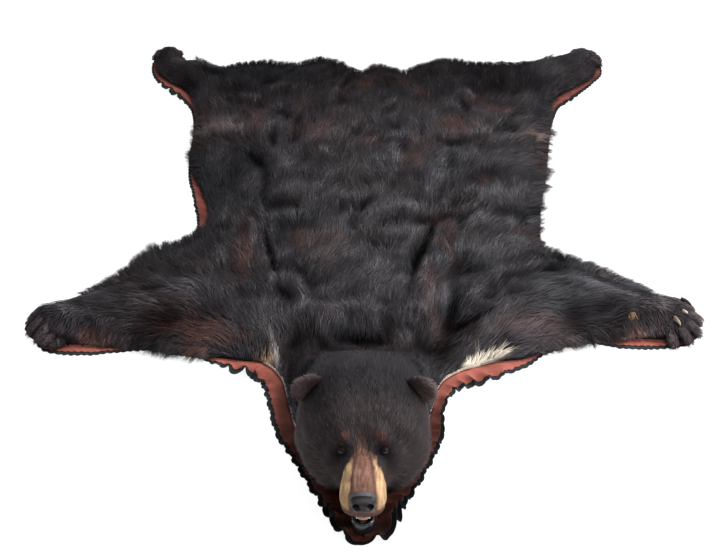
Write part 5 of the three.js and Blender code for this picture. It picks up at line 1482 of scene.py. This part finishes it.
def nose():
    """The nose pad: rounded-square rings that close towards the front, with nostrils and a groove pressed in.

    The nostrils are tilted ovals with a raised rim. The groove runs down the middle of the lower half."""
    rings, turns = 60, 96
    t = np.linspace(0, 1, rings)[:, None]
    turn = angles(turns)[None, :]
    share = np.sqrt(np.clip(1 - np.clip((t - 0.32) / 0.68, 0, 1) ** 2.2, 0, 1)) * 0.985 + 0.002
    wide = 26 * share * (1 + 0.12 * np.sin(turn))
    high = 21.5 * share
    x = wide * np.sign(np.cos(turn)) * np.abs(np.cos(turn)) ** 0.86
    z = high * np.sign(np.sin(turn)) * np.abs(np.sin(turn)) ** 0.86
    z = z - 3.5 * t + np.where(np.sin(turn) < 0, -1.5 * np.exp(-((x / 6) ** 2)) * share, 0)
    y = -797 - 25 * t + 0.03 * np.abs(x) * t
    points = np.stack([x, np.broadcast_to(y, x.shape), z + 116], axis=-1)
    front = -806
    for side in (-1, 1):
        dx, dz = points[..., 0] - side * 12.5, points[..., 2] - 117.0
        tilt = side * 0.45
        u, v = dx * math.cos(tilt) + dz * math.sin(tilt), -dx * math.sin(tilt) + dz * math.cos(tilt)
        hole = np.exp(-((u / 6.2) ** 2 + (v / 7.0) ** 2) ** 2) * (points[..., 1] < front)
        points[..., 1] += 13 * hole
        ring = np.exp(-((np.hypot(u / 8.4, v / 9.2) - 1) / 0.25) ** 2) * (points[..., 1] < front)
        points[..., 1] -= 1.4 * ring
    groove = np.exp(-((points[..., 0] / 1.4) ** 2)) * (points[..., 2] < 119) * (points[..., 1] < front)
    points[..., 1] += 2.6 * groove
    inside = np.clip((points[..., 1] + 816) / 8, 0, 1) * (points[..., 1] < front) * (share > 0.2)
    points[..., 0] += HEAD_X
    # Painted shade deep in the nostrils, and a painted highlight along the top of the nose.
    shade = 1 - 0.95 * smooth(inside)
    crest = smooth((points[..., 2] - 124) / 9).reshape(-1, 1)
    color = blended(NOSE_BLACK, NOSE_CREST_LIT, crest) * shade.reshape(-1, 1)
    m = Nodes("nose_leather", roughness=0.42, specular_ior_level=0.34)
    pebbles = {"Vector": m.where(), "Scale": 520.0}
    cells = m.add("ShaderNodeTexVoronoi", pebbles, feature="DISTANCE_TO_EDGE").outputs["Distance"]
    m.set(base_color=m.attribute("tint", "Color"), normal=m.bump(cells, 0.45, 0.0006))
    quads = grid_faces(rings, turns, wrap=True)
    pad = make_object("nose_pad", points.reshape(-1, 3), quads, m.material, color)
    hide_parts("nose")


nose()


def horseshoe(count, half, back, lip):
    """Plan of the jaw: straight left side, round lip, straight right side; points and outward directions."""
    bend = lip + half
    straight = back - bend
    length = 2 * straight + math.pi * half
    points, out = [], []
    for s in np.linspace(0, length, count):
        if s < straight:
            points.append((-half, back - s))
            out.append((-1, 0))
        elif s > length - straight:
            points.append((half, bend + s - (length - straight)))
            out.append((1, 0))
        else:
            a = math.pi + (s - straight) / half
            points.append((half * math.cos(a), bend + half * math.sin(a)))
            out.append((math.cos(a), math.sin(a)))
    return np.array(points), np.array(out)


def swept(path, out, profile):
    """Rows of points: the path moved inwards by the first number of each profile row, at its height.

    Past 20 mm the two sides of the path meet in the middle."""
    rings = []
    for inset, z in profile:
        xy = path - out * inset
        if inset > 20:
            xy[:, 0] = np.where(np.abs(path[:, 0]) < inset, 0, xy[:, 0])
        rings.append(np.column_stack([xy[:, 0] + HEAD_X, xy[:, 1], np.full(len(path), float(z))]))
    return np.vstack(rings), grid_faces(len(profile), len(path))[:, ::-1]


def lower_jaw(wet):
    """The lower jaw: a rolled lip and the wet floor of the mouth, one profile carried along a horseshoe."""
    path, out = horseshoe(90, 24.0, -724.0, -800.0)
    profile = [
        (5, 4.8), (1.5, 8), (0, 16), (0, 27), (0.5, 33), (2.2, 37.5), (4.5, 38.5), (7, 36.5), (8.5, 31),
        (10, 25.5), (14, 23), (23.8, 22),
    ]
    points, quads = swept(path, out, profile)
    raised = 1.2 * noise(points[:, 0], points[:, 1], 7, 7, 81) + 5 * smooth((points[:, 1] + 775) / 50)
    points[:, 2] += np.where(points[:, 2] > 30, raised, 0)
    hairy = smooth((28 - points[:, 2]) / 8)[:, None]
    jaw = make_object("jaw_lip", points, quads, wet, blended(JAW_BLACK, JAW_HAIR, hairy))
    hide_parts("lower_jaw")


def tongue(wet):
    """The tongue: a flat ellipsoid with a shallow groove, standing on the floor of the mouth."""
    rings, sides = 24, 36
    u, v = np.meshgrid(np.linspace(0, np.pi, rings), angles(sides), indexing="ij")
    x, y, z = np.sin(u) * np.cos(v) * 13, np.cos(u) * 26 - 758, np.sin(u) * np.sin(v) * 4 + 26.5
    body = np.stack([x, y, z], axis=-1)
    body[..., 2] -= 1.5 * np.exp(-((body[..., 0] / 2.5) ** 2)) * (np.sin(v) > 0)
    body[..., 2] = np.maximum(body[..., 2], 22.4)
    body[..., 0] += HEAD_X
    color = np.tile(TONGUE_RED, (rings * sides, 1))
    thing = make_object("tongue_body", body.reshape(-1, 3), grid_faces(rings, sides, wrap=True), wet, color)
    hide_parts("tongue")


def upper_teeth():
    """Six incisors in a bow: each an upright barrel with a round end."""
    enamel = skin_material("enamel", 0.22, 0.5, 400.0, 0.0002)
    number, rings, sides = 6, 9, 16
    faces, points, colors = [], [], []
    for k in range(number):
        off = k - (number - 1) / 2
        x, bow = HEAD_X + off * 4.8, 0.5 * abs(off) ** 2
        a, h = np.meshgrid(np.linspace(0, 1, rings), angles(sides), indexing="ij")
        round_end = np.where(a < 0.75, 1, np.sqrt(np.clip(1 - ((a - 0.75) / 0.25) ** 2, 0.001, 1)))
        size = round_end * (0.8 + 0.2 * np.sin(a * np.pi))
        px, py = x + 2.3 * size * np.cos(h), -798 + bow + 2.4 * size * np.sin(h)
        tooth = np.stack([px, py, 67 - 13 * a], axis=-1)
        faces.append(grid_faces(rings, sides, wrap=True)[:, ::-1] + k * rings * sides)
        points.append(tooth.reshape(-1, 3))
        colors.append(blended(TOOTH_ROOT, TOOTH_TIP, smooth(a / 0.5).reshape(-1, 1)))
    teeth = make_object("incisors", np.vstack(points), np.vstack(faces), enamel, np.vstack(colors))
    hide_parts("upper_teeth")


def upper_gum(wet):
    """The upper gum and lip: a round profile carried along a smaller horseshoe, pink in front."""
    path, out = horseshoe(60, 17.0, -770.0, -805.0)
    profile = [(2.2, 70), (0, 67), (-0.8, 64), (0.3, 61.5), (3, 61), (7, 63), (10, 70)]
    points, quads = swept(path, out, profile)
    front = smooth((-792 - points[:, 1]) / 8)[:, None]
    gum = make_object("upper_gum", points, quads, wet, blended(GUM_DARK, GUM_PINK, front))


def mouth():
    """The pieces of the open mouth. Jaw, tongue and gum share one wet finish."""
    wet = skin_material("wet_lip", 0.16, 0.6, 700.0, 0.0005)
    lower_jaw(wet)
    tongue(wet)
    upper_teeth()
    upper_gum(wet)


mouth()


def claws():
    """Claws: oval cones bent down along an arc, in one dark piece and one pale piece."""
    horn = skin_material("horn", 0.3, 0.5, 600.0, 0.0002)
    rings, sides = 16, 14
    groups = {"dark": ([], [], []), "pale": ([], [], [])}
    nodes = {"dark": [], "pale": []}
    for name, (x, y, heading, fan, reach, bow, *_, claw) in PAWS.items():
        kind, thick = ("pale", 0.19) if name == "right_fore" else ("dark", 0.155)
        verts, quads, colors = groups[kind]
        for toe in TOES:
            turn = math.radians(heading + toe * fan)
            root, low, size, pale = reach - bow * toe * toe - 19, 5, claw, 1.0
            base_x, base_y = x, y
            if (name, toe) in TURNED_CLAWS:
                base_x, base_y, degrees, low, part, pale = TURNED_CLAWS[(name, toe)]
                turn, root, size = math.radians(degrees), 0.0, claw * part
            t, a = np.meshgrid(np.linspace(0, 1, rings), angles(sides), indexing="ij")
            ahead = root + size * np.sin(t * math.radians(78))
            z = PELT_BASE + low + size * 0.52 * np.cos(t * math.radians(80))
            radius = claw * thick * (1 - 0.9 * t**1.5)
            tilt = t * math.radians(62)
            side, up = radius * 0.75 * np.cos(a), radius * np.sin(a)
            forward = ahead + up * np.sin(tilt)
            px = base_x + forward * math.cos(turn) - side * math.sin(turn)
            py = base_y + forward * math.sin(turn) + side * math.cos(turn)
            quads.append(grid_faces(rings, sides, wrap=True) + rings * sides * len(verts))
            verts.append(np.stack([px, py, z + up * np.cos(tilt)], axis=-1).reshape(-1, 3))
            share = t.reshape(-1, 1)
            if kind == "pale":
                colors.append(blended(HORN_BROWN, HORN_PALE, share) * pale)
            else:
                colors.append(np.full((rings * sides, 3), HORN_BLACK) + 0.012 * share)
            nodes[kind].append(f"claw_{name}_{toe + 3}")
    for kind, (verts, quads, colors) in groups.items():
        thing = make_object(f"{kind}_claws", np.vstack(verts), np.vstack(quads), horn, np.vstack(colors))
        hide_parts(*nodes[kind])


claws()

# Floor and light
FLOOR_HALF, FLOOR_LEVEL = 30, -0.0005
corners = [(x * FLOOR_HALF, y * FLOOR_HALF, FLOOR_LEVEL) for x, y in ((-1, -1), (1, -1), (1, 1), (-1, 1))]
floor_mesh = bpy.data.meshes.new("floor")
floor_mesh.from_pydata(corners, [], [(0, 1, 2, 3)])
floor = bpy.data.objects.new("floor", floor_mesh)
bpy.context.collection.objects.link(floor)
paper = Nodes("white_paper", base_color=(0.30, 0.30, 0.30, 1), roughness=0.9, specular_ior_level=0.1)
paper.set(emission_color=(1, 1, 1, 1), emission_strength=0.88)
floor_mesh.materials.append(paper.material)

world = bpy.data.worlds.new("studio")
bpy.context.scene.world = world
world.use_nodes = True
sky = world.node_tree.nodes["Background"]
sky.inputs["Color"].default_value = (0.93, 0.95, 1.0, 1)
sky.inputs["Strength"].default_value = 0.42


def area_light(name, x, y, z, aim, size, power):
    """A softbox at a place, turned to a point that it aims at. Lengths are in metres, power in watts."""
    data = bpy.data.lights.new(name, "AREA")
    data.shape = "RECTANGLE"
    data.size, data.size_y = size
    data.energy = power
    lamp = bpy.data.objects.new(name, data)
    bpy.context.collection.objects.link(lamp)
    lamp.location = (x, y, z)
    lamp.rotation_euler = (Vector(aim) - Vector((x, y, z))).to_track_quat("-Z", "Y").to_euler()


area_light("softbox_top", 0.9, 1.2, 2.6, (0, -0.1, 0), (2.2, 1.8), 120)
area_light("softbox_front", 1.2, -2.6, 2.4, (0, -0.3, 0), (1.6, 1.2), 18)
area_light("softbox_side", 2.6, -0.9, 1.3, (0.2, -0.5, 0.1), (1.0, 0.8), 54)

view = bpy.context.scene.view_settings
view.view_transform = "Standard"
view.look = "None"
view.exposure = 0.0
